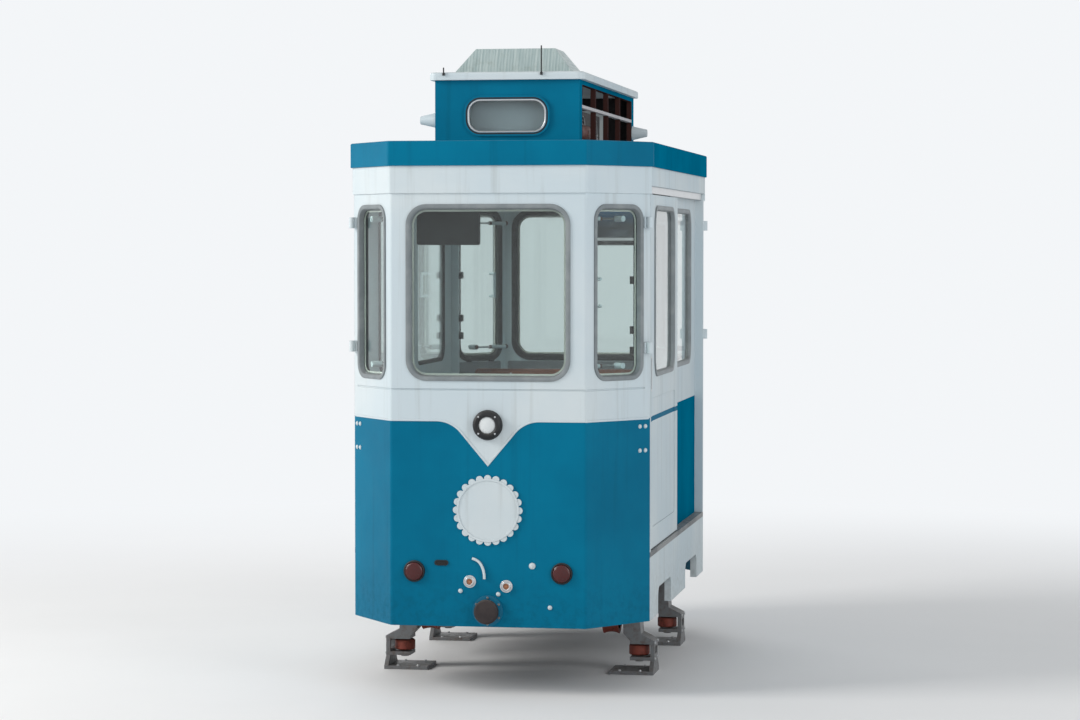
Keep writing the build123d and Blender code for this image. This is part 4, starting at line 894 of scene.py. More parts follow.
def seal_half(depth, lip):
    """Half of a seal whose lip reaches over the wall and rises from it."""
    over, rise = lip
    return seal_profile(depth, [
        (SEAL_BACK, 0.0002), (0.0005 - over, 0.0002), (-over, 0.35 * rise), (-0.6 * over, 0.85 * rise),
        (0.0040, rise), (0.0110, 0.95 * rise), (0.0180, 0.60 * rise), (0.0220, -0.0020),
    ])


def flush_half(depth):
    """Half of a seal that ends inside the wall, because the face slides close to another."""
    return seal_profile(depth, [(SEAL_BACK, -0.0006), (0.0170, -0.0006), (0.0220, -0.0045)])


def through(section, depth):
    """The same half seen from the other face of the wall."""
    return section * np.array([1, -1]) - np.array([0, depth])


def round_window(face, across, height, size):
    """Path round one opening with its outward normal and inward binormals."""
    loop, out = rounded_loop(*size, 9)
    path = on_face(face, across + loop[:, 0], height + loop[:, 1])
    return path, face[3], -(out[:, :1] * face[1] + out[:, 1:] * face[2])


fixed_windows = [(end_face(end), 0.0, END_WINDOW, WALL, OUTER_LIP) for end in ENDS]
for side in SIDES:
    for end in ENDS:
        fixed_windows.append((corner_face(side, end), 0.0, CORNER_WINDOW, WALL, OUTER_LIP))
for side in SIDES:
    wall = side_face(side, SIDE_FACE)
    fixed_windows.append((wall, SIDE_WINDOW_PLACE, SIDE_WINDOW, SIDE_WALL, LOW_LIP))
outer_seals, inner_seals, beads = Mesh(), Mesh(), Mesh()
for face, across, size, depth, lip in fixed_windows:
    way = round_window(face, across, WINDOW_MIDDLE, size)
    outer_seals.carry(*way, seal_half(depth, lip))
    inner_seals.carry(*way, through(seal_half(depth, INNER_LIP), depth))
    beads.carry(*way, BEAD - np.array([0.0, (depth + PANE) / 2 + SEAL_BACK]))
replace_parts(outer_seals.piece("window_seal_outsides", "car", "black_rubber", GREY_RUBBER_LIGHTENED), "window_seals")
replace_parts(inner_seals.piece("window_seal_insides", "car", "black_rubber", RUBBER), "window_seals")
DOORS = (("right_door", 1), ("left_door", -1))
for name, side in DOORS:
    way = round_window(side_face(side, LEAF_FACE), -SIDE_WINDOW_PLACE, WINDOW_MIDDLE, SIDE_WINDOW)
    outside = Mesh().carry(*way, seal_half(LEAF_THICKNESS, OUTER_LIP))
    inside = Mesh().carry(*way, through(flush_half(LEAF_THICKNESS), LEAF_THICKNESS))
    # the outside seal takes the lightened grey rubber: weathering with painted light
    outside = outside.piece(name + "_seal_outside", name, "black_rubber", GREY_RUBBER_LIGHTENED)
    inside = inside.piece(name + "_seal_inside", name, "black_rubber", RUBBER)
    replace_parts(outside, name + "_seal")
    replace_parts(inside, name + "_seal")
beads.piece("window_filler_strips", "car", "white_paint", CREAM)

# Pale strip along the border between the blue and the white: its section as (up, outwards), its inset
# from the side edge and the gap between its level run and the dip
TRIM = [
    (-0.006, 0.0003), (-0.006, 0.0018), (-0.0045, 0.0028),
    (0.0045, 0.0028), (0.006, 0.0018), (0.006, 0.0003),
]
TRIM_INSET = 0.014
DIP_GAP = 0.002


def border_half():
    """Border of the +Y end from the outer end of its +X corner face to the dip, with out and up.

    Level along the plan outline, round the corner arc of radius r, then in the end face
    (x, z) = (a - R sin t, h - R (1 - cos t)) for t from 0 to the slope angle.
    """
    outer = vec(HALF_WIDTH, SIDE_END, 0)
    corner = vec(HALF_WIDTH - CORNER_ACROSS, HALF_LENGTH, 0)
    slant = unit(corner - outer)
    slant_out = unit(vec(CORNER_ALONG, CORNER_ACROSS, 0))
    turn = math.acos(float(slant_out @ Y))
    centre = corner - CORNER_ROUND * math.tan(turn / 2) * slant - CORNER_ROUND * slant_out
    angle = np.linspace(turn, 0, 7)
    arc_out = np.stack([np.sin(angle), np.cos(angle), 0 * angle], -1)
    dip_start = vec(DIP_HALF_WIDTH + DIP_GAP, HALF_LENGTH, 0)
    start = outer + TRIM_INSET * slant
    level = np.concatenate([[start], centre + CORNER_ROUND * arc_out, [dip_start]])
    t = np.linspace(0, DIP_SLOPE, 15)[:, None]
    dip_up = np.cos(t) * Z - np.sin(t) * X
    dip = vec(DIP_HALF_WIDTH, HALF_LENGTH, -DIP_ARC_RADIUS) + DIP_ARC_RADIUS * dip_up
    path = np.concatenate([level, dip]) + BORDER * Z
    outward = np.concatenate([[slant_out], arc_out, np.tile(Y, (1 + len(t), 1))])
    return path, outward, np.concatenate([np.tile(Z, (len(level), 1)), dip_up])


# The other half is the mirror image, with the point of the dip between them
strip = Mesh()
path, outward, up = border_half()
flip = vec(-1, 1, 1)
point = vec(0, HALF_LENGTH, BORDER - DIP_DEPTH)
path = np.concatenate([path, [point], (path * flip)[::-1]])
outward = np.concatenate([outward, [Y], (outward * flip)[::-1]])
up = np.concatenate([up, [Z / math.cos(DIP_SLOPE)], (up * flip)[::-1]])
for end in ENDS:
    mirrored = vec(1, end, 1)
    strip.carry(path * mirrored, outward * mirrored, up * mirrored, TRIM, closed=False)
strip.piece("border_strip", "car", "white_paint", WHITE)


# Lamps on each end
def fitting(end, across, height):
    """Place on an end face, across and up from the foot of the apron, and the direction out of it."""
    return on_face(end_face(end), across, BASE + height), end * Y


def lens_profile(radius, foot, shoulder, rise):
    """Straight wall up to a shoulder, then a cap r = R cos t, h = shoulder + rise sin t."""
    t = np.linspace(0, np.pi / 2, 9)[1:-1]
    cap = np.stack([radius * np.cos(t), shoulder + rise * np.sin(t)], -1).tolist()
    return [(0.0, foot), (radius, foot), (radius, shoulder), *cap, (0.0, shoulder + rise)]


HEADLIGHT_Z = 1.120
HEADLIGHT_RING = [
    (0.0470, 0.004), (0.0470, 0.029), (0.0500, 0.035), (0.0560, 0.0385), (0.0640, 0.0390),
    (0.0720, 0.0360), (0.0780, 0.0300), (0.0800, 0.0220), (0.0800, 0.0120), (0.0835, 0.0100),
    (0.0835, 0.0005), (0.0600, 0.0005),
]
HEADLIGHT_LENS = lens_profile(0.0468, 0.006, 0.024, 0.014)
HEADLIGHT_FRONT = 0.0385
HEADLIGHT_SCREWS = 0.0655
bezels, lenses, lamp_screws = Mesh(), Mesh(), Mesh()
for end in ENDS:
    place, out = fitting(end, 0.0, HEADLIGHT_Z)
    bezels.turn(HEADLIGHT_RING, place, out, 64)
    lenses.turn(HEADLIGHT_LENS, place, out)
    spots = ring_of(place + HEADLIGHT_FRONT * out, X, Z, HEADLIGHT_SCREWS, 4, np.pi / 4)
    lamp_screws.fasten(dome(0.006, 0.003, 10, 3), spots, out)
bezel = bezels.piece("headlight_bezels", "car", "black_plastic", PLASTIC)
lens = lenses.piece("headlight_lenses", "car", "lamp_white", LENS_WHITE)
lamp_screws.piece("headlight_screws", "car", "bright_steel", BRIGHT)
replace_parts(bezel, "headlights")
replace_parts(lens, "headlights")

TAIL_Z = 0.304
TAIL_X = 0.415
TAIL_BASE = [
    (0.0, 0.0004), (0.0600, 0.0004), (0.0600, 0.0110), (0.0575, 0.0150), (0.0530, 0.0165),
    (0.0505, 0.0150), (0.0505, 0.0080), (0.0, 0.0080),
]
TAIL_LENS = lens_profile(0.0500, 0.0085, 0.0160, 0.0135)
bases, reds = Mesh(), Mesh()
for end in ENDS:
    for across in (-TAIL_X, TAIL_X):
        place, out = fitting(end, across, TAIL_Z)
        bases.turn(TAIL_BASE, place, out)
        reds.turn(TAIL_LENS, place, out)
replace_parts(bases.piece("tail_lamp_bases", "car", "black_plastic", PLASTIC), "tail_lamps")
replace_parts(reds.piece("tail_lamp_lenses", "car", "lamp_red", LENS_RED), "tail_lamps")

# Small fittings on the aprons: sockets, studs, a dark slot and a curved hook, placed across and up
SOCKET_SPOTS = [(-0.102, 0.251), (0.104, 0.228)]
SOCKET = [
    (0.0165, 0.003), (0.0165, 0.0150), (0.0190, 0.0160), (0.0240, 0.0155), (0.0265, 0.0130),
    (0.0265, 0.0050), (0.0350, 0.0045), (0.0350, 0.0004), (0.0165, 0.0004),
]
CORE = [
    (0.0, 0.0008), (0.0162, 0.0008), (0.0162, 0.0060), (0.0080, 0.0060), (0.0070, 0.0120), (0.0, 0.0130),
]
STUD_SPOTS = [(-0.155, 0.198), (0.058, 0.183), (0.348, 0.114)]
WIDE_STUD_SPOT = (0.249, 0.343)
STUD = dome(0.013, 0.009, 16, 4)
WIDE_STUD = dome(1.45 * 0.013, 0.009, 16, 4)
CORNER_STUDS = [(dx, z) for dx in (-0.022, 0.022) for z in (0.965, 1.100)]
CORNER_STUD_INSET = 0.062
SLOT_SPOT = (-0.262, 0.353)
SLOT_OUTER = np.array([0.078, 0.030, 0.0145])
SLOT_INNER = np.array([0.066, 0.018, 0.0088])
HOOK_START, HOOK_MIDDLE, HOOK_END = np.array([(-0.087, 0.380), (-0.036, 0.345), (-0.018, 0.267)])
HOOK_RADIUS = 0.0078
HOOK_OFF = 0.0095


def hook_path(face):
    """Curve (1 - t)^2 A + 2 t (1 - t) B + t^2 C through three points, with out and across itself."""
    t = np.linspace(0, 1, 17)[:, None]
    bend = 2 * HOOK_MIDDLE - (HOOK_START + HOOK_END) / 2
    curve = (1 - t) ** 2 * HOOK_START + 2 * t * (1 - t) * bend + t**2 * HOOK_END
    slope = unit((1 - t) * (bend - HOOK_START) + t * (HOOK_END - bend))
    beside = slope[:, 1:] * face[1] - slope[:, :1] * face[2]
    return on_face(face, curve[:, 0], BASE + curve[:, 1], HOOK_OFF), face[3], beside


sockets, cores, studs, slots, hooks = (Mesh() for _ in range(5))
for end in ENDS:
    face = end_face(end)
    for across, height in SOCKET_SPOTS:
        place, out = fitting(end, across, height)
        sockets.turn(SOCKET, place, out, 36)
        cores.turn(CORE, place, out, 24)
    studs.fasten(STUD, [on_face(face, u, BASE + v, GAP) for u, v in STUD_SPOTS], face[3])
    wide = on_face(face, WIDE_STUD_SPOT[0], BASE + WIDE_STUD_SPOT[1], GAP)
    studs.fasten(WIDE_STUD, [wide], face[3])
    slot = (SLOT_SPOT[0], BASE + SLOT_SPOT[1])
    slots.ring(face, slot, SLOT_OUTER, SLOT_INNER, GAP, 0.0058, arc=7)
    slots.plate(face, slot, 0.99 * SLOT_INNER, GAP, 0.0018, arc=7)
    hooks.carry(*hook_path(face), ring_of(np.zeros(2), *np.eye(2), HOOK_RADIUS, 12), closed=False)
for side in SIDES:
    for end in ENDS:
        face = corner_face(side, end)
        edge = -side * end * (math.hypot(CORNER_ACROSS, CORNER_ALONG) / 2 - CORNER_STUD_INSET)
        studs.fasten(STUD, [on_face(face, edge + dx, BASE + z, GAP) for dx, z in CORNER_STUDS], face[3])
for made in (
    sockets.piece("apron_sockets", "car", "bright_steel", BRIGHT),
    cores.piece("apron_socket_cores", "car", "bright_steel", COPPER),
    studs.piece("apron_studs", "car", "white_paint", WHITE),
    slots.piece("apron_slots", "car", "black_plastic", PLASTIC),
    hooks.piece("apron_hooks", "car", "white_paint", WHITE),
):
    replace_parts(made, "apron_fittings")

# Hexagon bolts on the buffers, wheel hubs, axle boxes and carriers
SMALL_BOLT = hexagon_bolt(0.0105, 0.0052, 0.0068)
BOLT = hexagon_bolt(0.014, 0.007, 0.009)
BUFFER_Z = BASE + 0.090
BUFFER_FLANGE = HALF_LENGTH + 0.0122
BUFFER_CIRCLE = 0.0735
HUB_CAP = [(0.0, 0.0002), (0.024, 0.0002), (0.024, 0.006), (0.018, 0.012), (0.0, 0.014)]
HUB_X, BOX_X, CARRIER_X = 0.585, 0.4702, 0.8002
BOLT_CIRCLE = 0.040
CARRIER_BOLTS = [(dy, z) for dy in (-0.060, 0.060) for z in (0.088, 0.182)]
CLAW_BOLTS = [(x, dy) for x in (0.60, 0.72) for dy in (-0.112, 0.112)]
CLAW_TOP = 0.0202

buffer_bolts = Mesh()
for end in ENDS:
    centre = vec(0, end * BUFFER_FLANGE, BUFFER_Z)
    buffer_bolts.fasten(SMALL_BOLT, ring_of(centre, X, Z, BUFFER_CIRCLE, 6, np.pi / 6), end * Y)
buffer_bolts.piece("buffer_bolts", "car", "grey_steel", GREY_STEEL)
for name, end in (("front", -1), ("rear", 1)):
    y = end * BOGIE_Y
    bolts, hub_bolts = Mesh(), Mesh()
    for side in SIDES:
        out = side * X
        hub = vec(side * HUB_X, y, AXLE_Z)
        hub_bolts.fasten(BOLT, ring_of(hub, Y, Z, BOLT_CIRCLE, 6), out).turn(HUB_CAP, hub, out, 24)
        bolts.fasten(SMALL_BOLT, ring_of(vec(side * BOX_X, y, AXLE_Z), Y, Z, BOLT_CIRCLE, 6), out)
        bolts.fasten(BOLT, [(side * CARRIER_X, y + dy, z) for dy, z in CARRIER_BOLTS], out)
        bolts.fasten(BOLT, [(side * x, y + dy, CLAW_TOP) for x, dy in CLAW_BOLTS], Z, Y)
    bolts.piece(name + "_bogie_bolts", name + "_bogie", "grey_steel", BRIGHT)
    hub_bolts.piece(name + "_hub_bolts", name + "_wheelset", "grey_steel", BRIGHT)

# Door leaves: rubber on the closing edge, a framed pull and a dark cup behind it
LEAF_EDGE = -1.270
EDGE_RUBBER = np.array([
    (-0.0034, -0.030), (-0.0034, -0.008), (-0.0020, -0.002), (0.0, 0.0016), (0.0120, 0.0022),
    (0.0140, 0.0004), (0.0140, 0.0002), (-0.0001, 0.0002), (-0.0001, -0.030),
])
EDGE_LOW = LEAF_LOW.z + 0.004
EDGE_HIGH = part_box("door_tracks")[0].z - 0.012
PULL = (-1.195, FLOOR_TOP + 1.000)
PULL_OUTER = np.array([0.058, 0.198, 0.0285])
PULL_INNER = np.array([0.0392, 0.1792, 0.0192])
for name, side in DOORS:
    face = side_face(side, LEAF_FACE)
    level = (face[0] + LEAF_EDGE * face[1], face[1], face[3], Z)
    rubber_strip = Mesh().slab(EDGE_RUBBER, level, EDGE_LOW, EDGE_HIGH)
    rubber_strip.piece(name + "_edge_rubber", name, "black_rubber", RUBBER)
    rim = Mesh().ring(face, PULL, PULL_OUTER, PULL_INNER, 0.0002, 0.0030, arc=9)
    rim.piece(name + "_pull_rim", name, "bright_steel", BRIGHT, bevel=0.0008)
    cup = Mesh().plate(face, PULL, 0.985 * PULL_INNER, -0.0156, -0.0138, arc=9)
    cup.piece(name + "_pull_cup", name, "black_plastic", PLASTIC)

# Roof: sign surrounds and rims with a blank backing behind each sign pane
SIGN_Z = BASE + 2.850
CLERESTORY_END = 1.120
SIGN_COVER = [
    (-0.0130, 0.0003), (-0.0130, 0.0118), (-0.0100, 0.0142),
    (-0.0020, 0.0142), (-0.0002, 0.0128), (-0.0002, 0.0003),
]
SIGN_LINER = [
    (0.0003, -0.0105), (0.0003, 0.0130), (0.0075, 0.0135), (0.0105, 0.0100), (0.0105, -0.0105),
]
SIGN_BACKING = (0.520, 0.250, 0.020)
surrounds, rims, blinds = Mesh(), Mesh(), Mesh()
for end in ENDS:
    face = (end * CLERESTORY_END * Y, *end_face(end)[1:])
    way = round_window(face, 0.0, SIGN_Z, SIGN)
    surrounds.carry(*way, SIGN_COVER)
    rims.carry(*way, SIGN_LINER)
    blinds.plate(face, (0.0, SIGN_Z), SIGN_BACKING, -0.072, -0.066, arc=5)
surrounds.piece("sign_surrounds", "car", "black_rubber", RUBBER)
rims.piece("sign_rims", "car", "bright_steel", BRIGHT)
blinds.piece("sign_backings", "car", "plate_white", BLIND)

# Roof unit: three fans on each side behind rings and spokes of wire
UNIT_LOW, UNIT_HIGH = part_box("roof_unit")
FAN_PLACES = (-0.500, 0.0, 0.500)
FAN_RINGS = (0.035, 0.058, 0.081, 0.104)
SPOKE_INNER, SPOKE_OUTER = 0.020, 0.106
WIRE = 0.0044
SPOKE = rectangle(WIRE, 0.003) + np.array([0.0, 0.006])
FAN_HUB = [(0.0, 0.0), (0.022, 0.0), (0.022, 0.006), (0.016, 0.009), (0.0, 0.010)]
grilles, hubs = Mesh(), Mesh()
for side in SIDES:
    out = side * X
    for y in FAN_PLACES:
        centre = vec(side * (UNIT_HIGH.x + 0.0002), y, (UNIT_LOW.z + UNIT_HIGH.z) / 2)
        for radius in FAN_RINGS:
            grilles.turn(rectangle(WIRE, WIRE) + np.array([radius, WIRE / 2]), centre, out, 40)
        for along in ring_of(0 * Z, Y, Z, 1.0, 6):
            way = np.stack([centre + SPOKE_INNER * along, centre + SPOKE_OUTER * along])
            grilles.carry(way, out, np.cross(out, along), SPOKE, closed=False)
        hubs.turn(FAN_HUB, centre, out, 24)
grilles.piece("fan_grilles", "car", "dark_steel", BRIGHT, smooth=50)
hubs.piece("fan_hubs", "car", "dark_steel", DARK_STEEL)

# Roof unit: a drum on feet beside it at each end, and a square post
DRUM = [
    (0.0, 0.0), (0.040, 0.0), (0.050, 0.008), (0.054, 0.020),
    (0.054, 0.500), (0.050, 0.512), (0.040, 0.520), (0.0, 0.520),
]
DRUM_X, DRUM_Y, DRUM_Z = 0.325, 0.260, ROOF_TOP + 0.110
DRUM_FEET = (0.34, 0.70)
POST_X, POST_Y = 0.345, 0.955
DRUM_FOOT, POST_FOOT, POST = rectangle(0.090, 0.040), rectangle(0.072, 0.072), rectangle(0.060, 0.060)
FOOT_LOW = ROOF_TOP + LINING_GAP
FOOT_TOP = ROOF_TOP + 0.085
drums, posts = Mesh(), Mesh()
for end in ENDS:
    drums.turn(DRUM, vec(-end * DRUM_X, end * DRUM_Y, DRUM_Z), end * Y, 32)
    for y in DRUM_FEET:
        place = (vec(-end * DRUM_X, end * y, 0), X, Y, Z)
        posts.slab(DRUM_FOOT, place, FOOT_LOW, ROOF_TOP + 0.070)
    place = (vec(-end * POST_X, end * POST_Y, 0), X, Y, Z)
    posts.slab(POST_FOOT, place, FOOT_LOW, FOOT_TOP)
    drums.slab(POST, place, FOOT_TOP + LINING_GAP, ROOF_TOP + 0.300)
drums.piece("roof_drums", "car", "dark_steel", OXIDE, bevel=0.003)
posts.piece("roof_drum_feet", "car", "white_paint", WHITE, bevel=0.002)

# Roof cover: a screwed flange round its foot; roof plate: two rods on its front edge
COVER_LOW, COVER_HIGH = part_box("roof_cover")
COVER_WIDTH, COVER_LENGTH = COVER_HIGH.x - COVER_LOW.x, COVER_HIGH.y - COVER_LOW.y
COVER_MIDDLE = vec(0, (COVER_LOW.y + COVER_HIGH.y) / 2, PLATE_TOP)
FLANGE_OUTER = (COVER_WIDTH + 0.066, COVER_LENGTH + 0.060, 0.014)
FLANGE_INNER = (COVER_WIDTH - 0.004, COVER_LENGTH - 0.004, 0.002)
SCREW_FOOT = 0.0048
flange = Mesh().ring((COVER_MIDDLE, X, Y, Z), (0, 0), FLANGE_OUTER, FLANGE_INNER, GAP, 0.0050)
flange.piece("roof_cover_flange", "car", "pale_cover", PALE, bevel=0.0015)
spots = []
for side in SIDES:
    spots += [(x, side * (COVER_LENGTH / 2 + 0.016), SCREW_FOOT) for x in np.linspace(-0.32, 0.32, 6)]
    spots += [(side * (COVER_WIDTH / 2 + 0.017), y, SCREW_FOOT) for y in (-0.15, 0.0, 0.15)]
screws = Mesh().fasten(dome(0.0065, 0.0035, 10, 3), COVER_MIDDLE + np.array(spots), Z, Y)
screws.piece("roof_cover_screws", "car", "bright_steel", BRIGHT)
ROD_X, ROD_TOP = 0.204, COVER_HIGH.z - 0.004
SHORT_ROD_X, SHORT_ROD_TOP = -0.362, PLATE_TOP + 0.026
ROD_RADIUS, COLLAR_RADIUS = 0.0040, 0.0075
ROD_FOOT = PLATE_TOP - 0.020
ROD_Y = -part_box("roof_plate")[1].y - 0.0045
rods = Mesh()
for x, top in ((ROD_X, ROD_TOP), (SHORT_ROD_X, SHORT_ROD_TOP)):
    rods.turn(disc(ROD_RADIUS, ROD_FOOT, top), vec(x, ROD_Y, 0), Z, 16)
    rods.turn(disc(COLLAR_RADIUS, ROD_FOOT, ROD_FOOT + 0.016), vec(x, ROD_Y, 0), Z, 16)
rods.piece("roof_plate_rods", "car", "black_plastic", PLASTIC)

# Inside: felt lining under the windows with pale bars, and on the end walls above and below the shelf
LINING_ACROSS, LINING_WIDTH = -0.650, 1.225
LINING_LOW = FLOOR_TOP + 0.030
LINING_HIGH = SILL - 0.055
SHELF_TOP = 1.568
SHELF_UNDER = 1.530
LINING_BARS = [(SILL - 0.049, 0.014), (FLOOR_TOP + 0.022, 0.018), (SILL - 0.440, 0.010)]
END_LINING_WIDTH, CORNER_LINING_WIDTH = 1.000, 0.380
felts, bars = Mesh(), Mesh()
for side in SIDES:
    face = inside_of(side_face(side, SIDE_INNER))
    middle = (LINING_LOW + LINING_HIGH) / 2
    size = (LINING_WIDTH, LINING_HIGH - LINING_LOW, 0.012)
    felts.plate(face, (LINING_ACROSS, middle), size, LINING_GAP, 0.0060)
    for z, height in LINING_BARS:
        bars.plate(face, (LINING_ACROSS, z), (LINING_WIDTH + 0.010, height, 0.003), LINING_GAP, 0.0110)
for end in ENDS:
    walls = [(end_face(end, WALL), END_LINING_WIDTH)]
    walls += [(corner_face(side, end, WALL), CORNER_LINING_WIDTH) for side in SIDES]
    for low, high in ((SHELF_TOP, SILL - 0.022), (LINING_LOW, SHELF_UNDER)):
        for wall, width in walls:
            size = (width, high - low, 0.010)
            felts.plate(inside_of(wall), (0.0, (low + high) / 2), size, LINING_GAP, 0.0055)
felts.piece("lining_panels", "car", "felt_grey", FELT_GREY)
bars.piece("lining_bars", "car", "white_paint", CREAM, bevel=0.001)

# Ceiling: a felt panel with two mouldings and four lamps, a felt panel over the windows of each side,
# and one lamp in each slanted soffit; each moulding is (width, length, breadth)
CEILING_FACE = (CEILING * Z, X, -Y, -Z)
CEILING_LAMPS = [(x, y) for y in (-0.55, 0.55) for x in (-0.30, 0.30)]
CEILING_RIM = [(0.058, 0.0), (0.058, 0.010), (0.066, 0.011), (0.072, 0.006), (0.073, 0.0)]
CEILING_DISC = [(0.0, 0.0), (0.0575, 0.0), (0.0575, 0.006), (0.040, 0.0095), (0.0, 0.0105)]
SOFFIT_RIM = [(0.055, 0.0), (0.055, 0.012), (0.060, 0.013), (0.0635, 0.010), (0.0642, 0.0)]
SOFFIT_DISC = [(0.0, 0.0), (0.0547, 0.0), (0.0547, 0.009), (0.040, 0.012), (0.0, 0.013)]
SOFFIT_Y = 1.445
SOFFIT_Z = CEILING - 0.210
SOFFIT_RUN, SOFFIT_DROP = 0.080, 0.450
MOULDINGS = [(1.440, 2.380, 0.030), (0.900, 2.000, 0.018)]
MOULDING_RADIUS = 0.060
CEILING_PANEL = (1.480, 2.420, 0.020)
HEAD_PANEL = (2.380, 0.176, 0.010)
HEAD_PANEL_Z = CEILING - 0.104
lining = Mesh().plate(CEILING_FACE, (0.0, 0.0), CEILING_PANEL, LINING_GAP, 0.0060, arc=5)
for side in SIDES:
    face = inside_of(side_face(side, SIDE_INNER))
    lining.plate(face, (0.0, HEAD_PANEL_Z), HEAD_PANEL, LINING_GAP, 0.0065)
lining.piece("ceiling_panels", "car", "felt_grey", FELT_GREY)
frames = Mesh()
for width, length, edge in MOULDINGS:
    outer = np.array([width, length, MOULDING_RADIUS])
    inner = outer - np.array([2, 2, 1]) * edge
    frames.ring(CEILING_FACE, (0.0, 0.0), outer, inner, 0.0055, 0.0125, arc=7)
frames.piece("ceiling_mouldings", "car", "white_paint", CREAM, bevel=0.0015)
rims, discs = Mesh(), Mesh()
for x, y in CEILING_LAMPS:
    place = vec(x, y, CEILING - 0.0062)
    rims.turn(CEILING_RIM, place, -Z, 40)
    discs.turn(CEILING_DISC, place, -Z, 40)
for end in ENDS:
    out = unit(vec(0, -end * SOFFIT_RUN, -SOFFIT_DROP))
    place = vec(0, end * SOFFIT_Y, SOFFIT_Z) - 0.0095 * out
    rims.turn(SOFFIT_RIM, place, out, 40)
    discs.turn(SOFFIT_DISC, place, out, 40)
rims.piece("lamp_rims", "car", "bright_steel", BRIGHT)
discs.piece("lamp_discs", "car", "lamp_white", DIFFUSER)

# Consoles: two control panels under clear hinged covers in the left half, and a plate with a catch in
# the right half; each knob is (mesh, across, up, radius, height)
CONSOLE_FACE = 1.220
CONSOLE_Z = CEILING - 0.085
RECESS_ACROSS = 0.235
RECESS_PLATE = (0.298, 0.103, 0.014)
RECESS_FLOOR = -0.0149
COVER_PLACES = (-0.310, -0.160)
PANEL_COVER = (0.147, 0.116, 0.012)
HINGE = (0.018, 0.026, 0.003)
HINGE_SHIFTS = (-0.045, 0.045)
HINGE_Z = CONSOLE_Z + 0.058
LATCH = (0.026, 0.012, 0.004)
LATCH_Z = CONSOLE_Z - 0.052
DIAL = (0.072, 0.056, 0.008)
DIAL_ACROSS = -0.140
RECESS_BAR = (0.010, 0.102, 0.002)
MIDDLE_JOINT = (0.003, 0.160, 0.001)
CATCH = (0.300, CONSOLE_Z - 0.012)
CATCH_OUTER, CATCH_INNER = (0.074, 0.024, 0.003), (0.066, 0.016, 0.001)
MARK = (0.005, 0.017, 0.002)
MARKS = [(0.245, CONSOLE_Z + 0.030), (0.295, CONSOLE_Z + 0.036)]
plates, covers, fittings, knobs, reds, greens, small = (Mesh() for _ in range(7))
KNOBS = [
    (knobs, -0.350, -0.016, 0.0120, 0.013), (reds, -0.318, -0.012, 0.0085, 0.010),
    (small, -0.290, -0.018, 0.0055, 0.008), (small, -0.272, -0.018, 0.0055, 0.008),
    (small, -0.254, -0.018, 0.0055, 0.008), (greens, -0.203, -0.004, 0.0075, 0.010),
]


def knob(radius, height):
    """Profile of a round knob with a softened rim."""
    rim = [(radius, 0.0), (0.96 * radius, 0.7 * height), (0.8 * radius, height)]
    return [(0.0, 0.0), *rim, (0.0, height)]


for end in ENDS:
    face = (end * CONSOLE_FACE * Y, end * X, Z, -end * Y)
    plates.plate(face, (-RECESS_ACROSS, CONSOLE_Z), RECESS_PLATE, -0.0177, -0.0150, arc=5)
    plates.plate(face, (RECESS_ACROSS, CONSOLE_Z), RECESS_PLATE, -0.0177, 0.0012, arc=5)
    plates.plate(face, (-RECESS_ACROSS, CONSOLE_Z), RECESS_BAR, RECESS_FLOOR, 0.0003, arc=3)
    knobs.plate(face, (0.0, CONSOLE_Z), MIDDLE_JOINT, 0.0002, 0.0007, arc=3)
    for across in COVER_PLACES:
        covers.plate(face, (across, CONSOLE_Z), PANEL_COVER, 0.0006, 0.0036, arc=5)
        for shift in HINGE_SHIFTS:
            fittings.plate(face, (across + shift, HINGE_Z), HINGE, 0.0038, 0.0062, arc=3)
            pin = on_face(face, across + shift, HINGE_Z, 0.0072)
            fittings.turn(disc(0.0030, -0.010, 0.010), pin, face[1], 12)
        fittings.plate(face, (across, LATCH_Z), LATCH, 0.0038, 0.0080, arc=3)
    for mesh, across, up, radius, height in KNOBS:
        mesh.turn(knob(radius, height), on_face(face, across, CONSOLE_Z + up, RECESS_FLOOR), face[3], 24)
    knobs.plate(face, (DIAL_ACROSS, CONSOLE_Z), DIAL, RECESS_FLOOR, -0.0040, arc=5)
    knobs.ring(face, CATCH, CATCH_OUTER, CATCH_INNER, 0.0013, 0.0030)
    for at in MARKS:
        knobs.plate(face, at, MARK, 0.0013, 0.0020, arc=3)
plates.piece("control_plates", "car", "white_paint", CREAM, bevel=0.001)
covers.piece("control_covers", "car", "clear_glass", GLASS)
fittings.piece("control_hinges", "car", "bright_steel", BRIGHT)
knobs.piece("control_knobs", "car", "black_plastic", PLASTIC)
reds.piece("red_knobs", "car", "lamp_red", KNOB_RED)
greens.piece("green_knobs", "car", "black_plastic", KNOB_GREEN)
small.piece("small_knobs", "car", "bright_steel", DARK_STEEL)

# Screens: dark glass in each bezel
SCREEN_SIZE = (0.3316, 0.2516, 0.002)
SCREEN_ACROSS = 0.310
SCREEN_FACE = CONSOLE_FACE + 0.030
glass = Mesh()
for end in ENDS:
    face = (end * SCREEN_FACE * Y, end * X, Z, -end * Y)
    glass.plate(face, (SCREEN_ACROSS, SCREEN_MIDDLE), SCREEN_SIZE, -0.0018, -0.0003, arc=3)
glass.piece("screen_glass", "car", "black_plastic", SCREEN)

